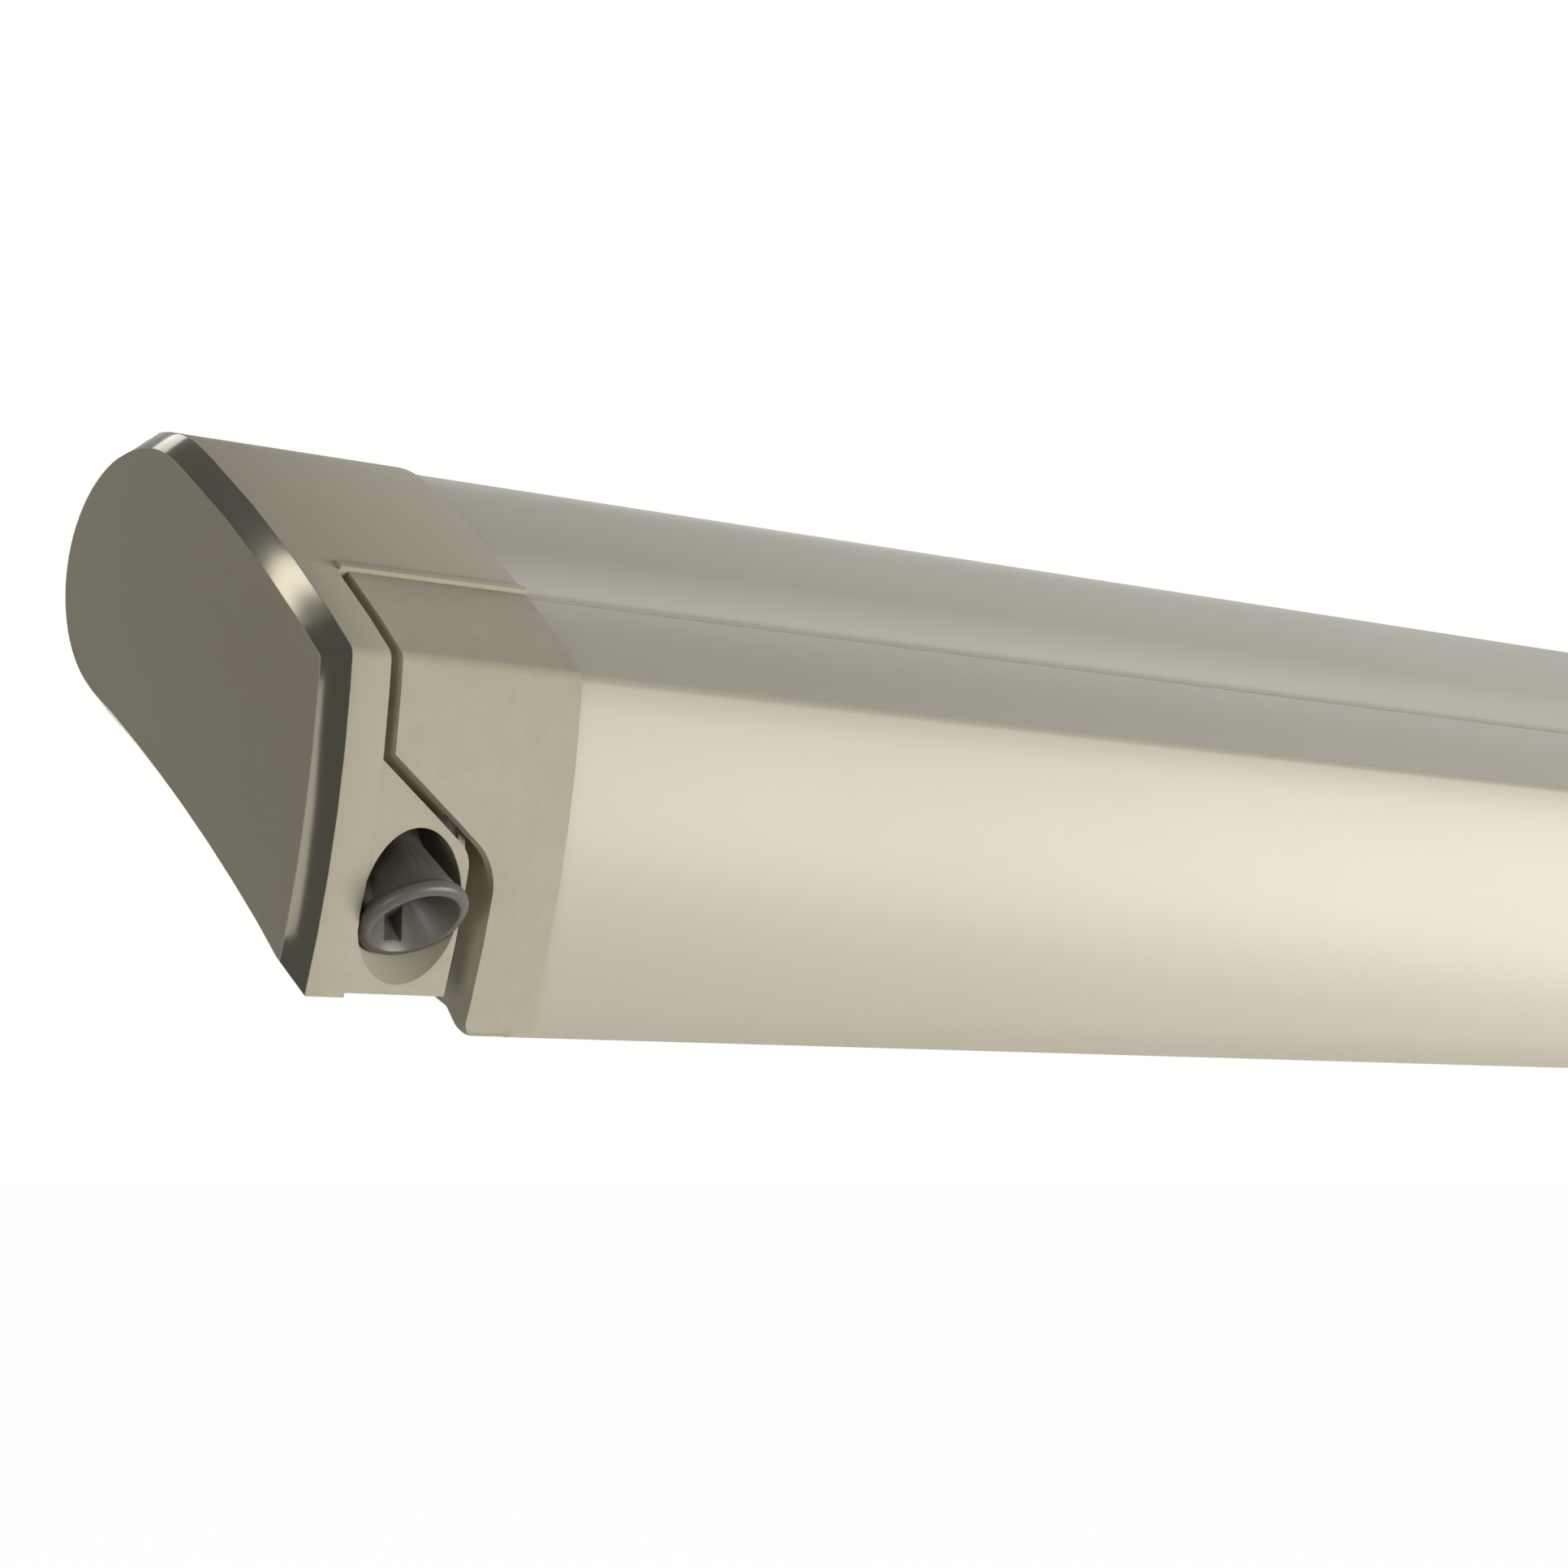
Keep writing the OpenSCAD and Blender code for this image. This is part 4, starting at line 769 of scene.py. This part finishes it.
    def hem(self) -> bpy.types.Object:
        """Lead the cloth from the end of the run once round the keder rod.

        Returns:
            The hem.
        """
        sheet, row = self.strip(self.hem_end)
        centre = Vector((0.0, *self.keder.centre))
        way = centre - Vector((0.0, *self.hem_end))
        reach = self.keder.radius + self.thickness / 2 + self.slack
        touch = centre - way.normalized() * reach
        step = (touch - Vector((0.0, *self.hem_end))) / self.hem_rows
        length = step.length * self.hem_rows
        for _ in range(self.hem_rows):
            row = self.grow(sheet, row, Matrix.Translation(step))
        turn = Matrix.Rotation(self.wrap / self.wrap_rows, 4, "X")
        about = Matrix.Translation(centre) @ turn @ Matrix.Translation(-centre)
        for _ in range(self.wrap_rows):
            row = self.grow(sheet, row, about)
        length += self.wrap * reach
        hem = self.finish(sheet, "cloth_hem", "fabric_front")
        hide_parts("fabric_hem")
        return hem

    def build(self) -> None:
        """Make the three stretches of cloth."""
        self.wound()
        self.hem()
        self.run()


@dataclass
class Studio:
    """Camera, floor, lamps and world."""

    camera_at: tuple[float, float, float] = (-1.8715, -0.9153, -0.1128)
    forward: tuple[float, float, float] = (0.6642, 0.7403, 0.1034)
    right: tuple[float, float, float] = (0.7443, -0.6678, 0.0)
    lens: float = 83.85
    floor_level: float = -2.62
    floor_size: float = 400.0
    floor_white: float = 0.95
    fill: float = 0.06
    warm: tuple[float, float, float] = (1.0, 0.985, 0.955)

    # Each lamp's name, place, aim, width and height, and power
    LAMPS = (("Key", (2.9, -6.1, -1.35), (-1.2, 0.0, 0.0), (6.7, 2.4), 520.0),
             ("Back", (0.3, 5.0, 1.6), (0.0, 0.0, 0.0), (3.0, 2.0), 110.0),
             ("Sky", (0.57, 0.65, 1.83), (-1.0, -0.05, 0.03), (2.2, 1.4), 6.0),
             ("Side", (-3.4, -1.1, -0.5), (-1.3, 0.0, 0.0), (1.0, 1.0), 15.0),
             ("Band", (-1.79, 0.085, 1.46), (-1.296, -0.07, 0.047), (0.1, 0.5), 2.7),
             ("Rim", (-1.32, 0.9, 1.2), (-1.294, -0.004, 0.101), (0.5, 0.3), 2.4))

    def camera(self) -> None:
        """Place the camera at the photograph's viewing angle."""
        data = bpy.data.cameras.new("Camera")
        data.lens = self.lens
        data.sensor_width = 36.0
        data.clip_start = 0.05
        data.clip_end = 900.0
        camera = bpy.data.objects.new("Camera", data)
        back = -Vector(self.forward).normalized()
        side = Vector(self.right).normalized()
        up = back.cross(side)
        turn = Matrix((side, up, back)).transposed().to_4x4()
        camera.matrix_world = Matrix.Translation(self.camera_at) @ turn
        bpy.context.collection.objects.link(camera)
        bpy.context.scene.camera = camera

    def lamp(self, name: str, at: tuple, to: tuple, size: tuple[float, float], power: float) -> None:
        """Place an area lamp.

        Args:
            name: Name of the lamp.
            at: Its place.
            to: The point that it faces.
            size: Its width and height in metres.
            power: Its power in watts.
        """
        data = bpy.data.lights.new(name, "AREA")
        data.shape = "RECTANGLE"
        data.size, data.size_y = size
        data.energy = power
        data.color = self.warm
        lamp = bpy.data.objects.new(name, data)
        lamp.location = at
        lamp.rotation_euler = (Vector(to) - Vector(at)).to_track_quat("-Z", "Y").to_euler()
        bpy.context.collection.objects.link(lamp)

    def floor(self) -> None:
        """Lay the pale floor, which keeps the object's shadow."""
        plate = bmesh.new()
        bmesh.ops.create_grid(plate, x_segments=1, y_segments=1, size=self.floor_size)
        bmesh.ops.translate(plate, verts=plate.verts[:], vec=(0.0, 0.0, self.floor_level))
        mesh = bpy.data.meshes.new("Floor")
        plate.to_mesh(mesh)
        plate.free()
        floor = bpy.data.objects.new("Floor", mesh)
        bpy.context.collection.objects.link(floor)
        material = bpy.data.materials.new("Pale floor")
        material.use_nodes = True
        board = Board(material.node_tree)
        material.node_tree.nodes.clear()
        path = board.add("ShaderNodeLightPath")
        matt = board.add("ShaderNodeBsdfDiffuse", Color=(0.7, 0.7, 0.69, 1.0))
        glow = board.add("ShaderNodeEmission", Color=(1.0, 1.0, 1.0, 1.0))
        board.join(board.sums("MULTIPLY", board.seen(path), self.floor_white), glow.inputs["Strength"])
        both = board.add("ShaderNodeAddShader")
        board.join(matt.outputs[0], both.inputs[0])
        board.join(glow.outputs[0], both.inputs[1])
        board.join(both.outputs[0], board.add("ShaderNodeOutputMaterial").inputs["Surface"])
        mesh.materials.append(material)

    def world(self) -> None:
        """Make the background white for the camera and in gloss, and plain fill light elsewhere."""
        world = bpy.data.worlds.new("Studio")
        world.use_nodes = True
        bpy.context.scene.world = world
        board = Board(world.node_tree)
        sky = world.node_tree.nodes["Background"]
        sky.inputs["Color"].default_value = (1.0, 1.0, 0.99, 1.0)
        path = board.add("ShaderNodeLightPath")
        seen = board.sums("MAXIMUM", board.seen(path), path.outputs["Is Transmission Ray"])
        board.join(board.sums("MULTIPLY_ADD", seen, 1.0 - self.fill, self.fill), sky.inputs["Strength"])

    def build(self) -> None:
        """Set up the whole studio."""
        scene = bpy.context.scene
        scene.view_settings.view_transform = "Standard"
        self.camera()
        self.floor()
        self.world()
        for lamp in self.LAMPS:
            self.lamp(*lamp)


def main() -> None:
    """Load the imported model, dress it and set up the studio."""
    logging.basicConfig(level=logging.INFO, format="%(name)s: %(message)s")
    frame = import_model()
    slots = {part["node"]: part["material_slot"] for part in frame["record"]["subparts"]}
    finishes = Finishes()
    Studio().build()
    LOG.info("rigid nodes dressed: %d", HardParts(frame["nodes"], slots, finishes).dress())
    AwningCloth(finishes, frame["nodes"]).build()


if __name__ == "__main__":
    main()
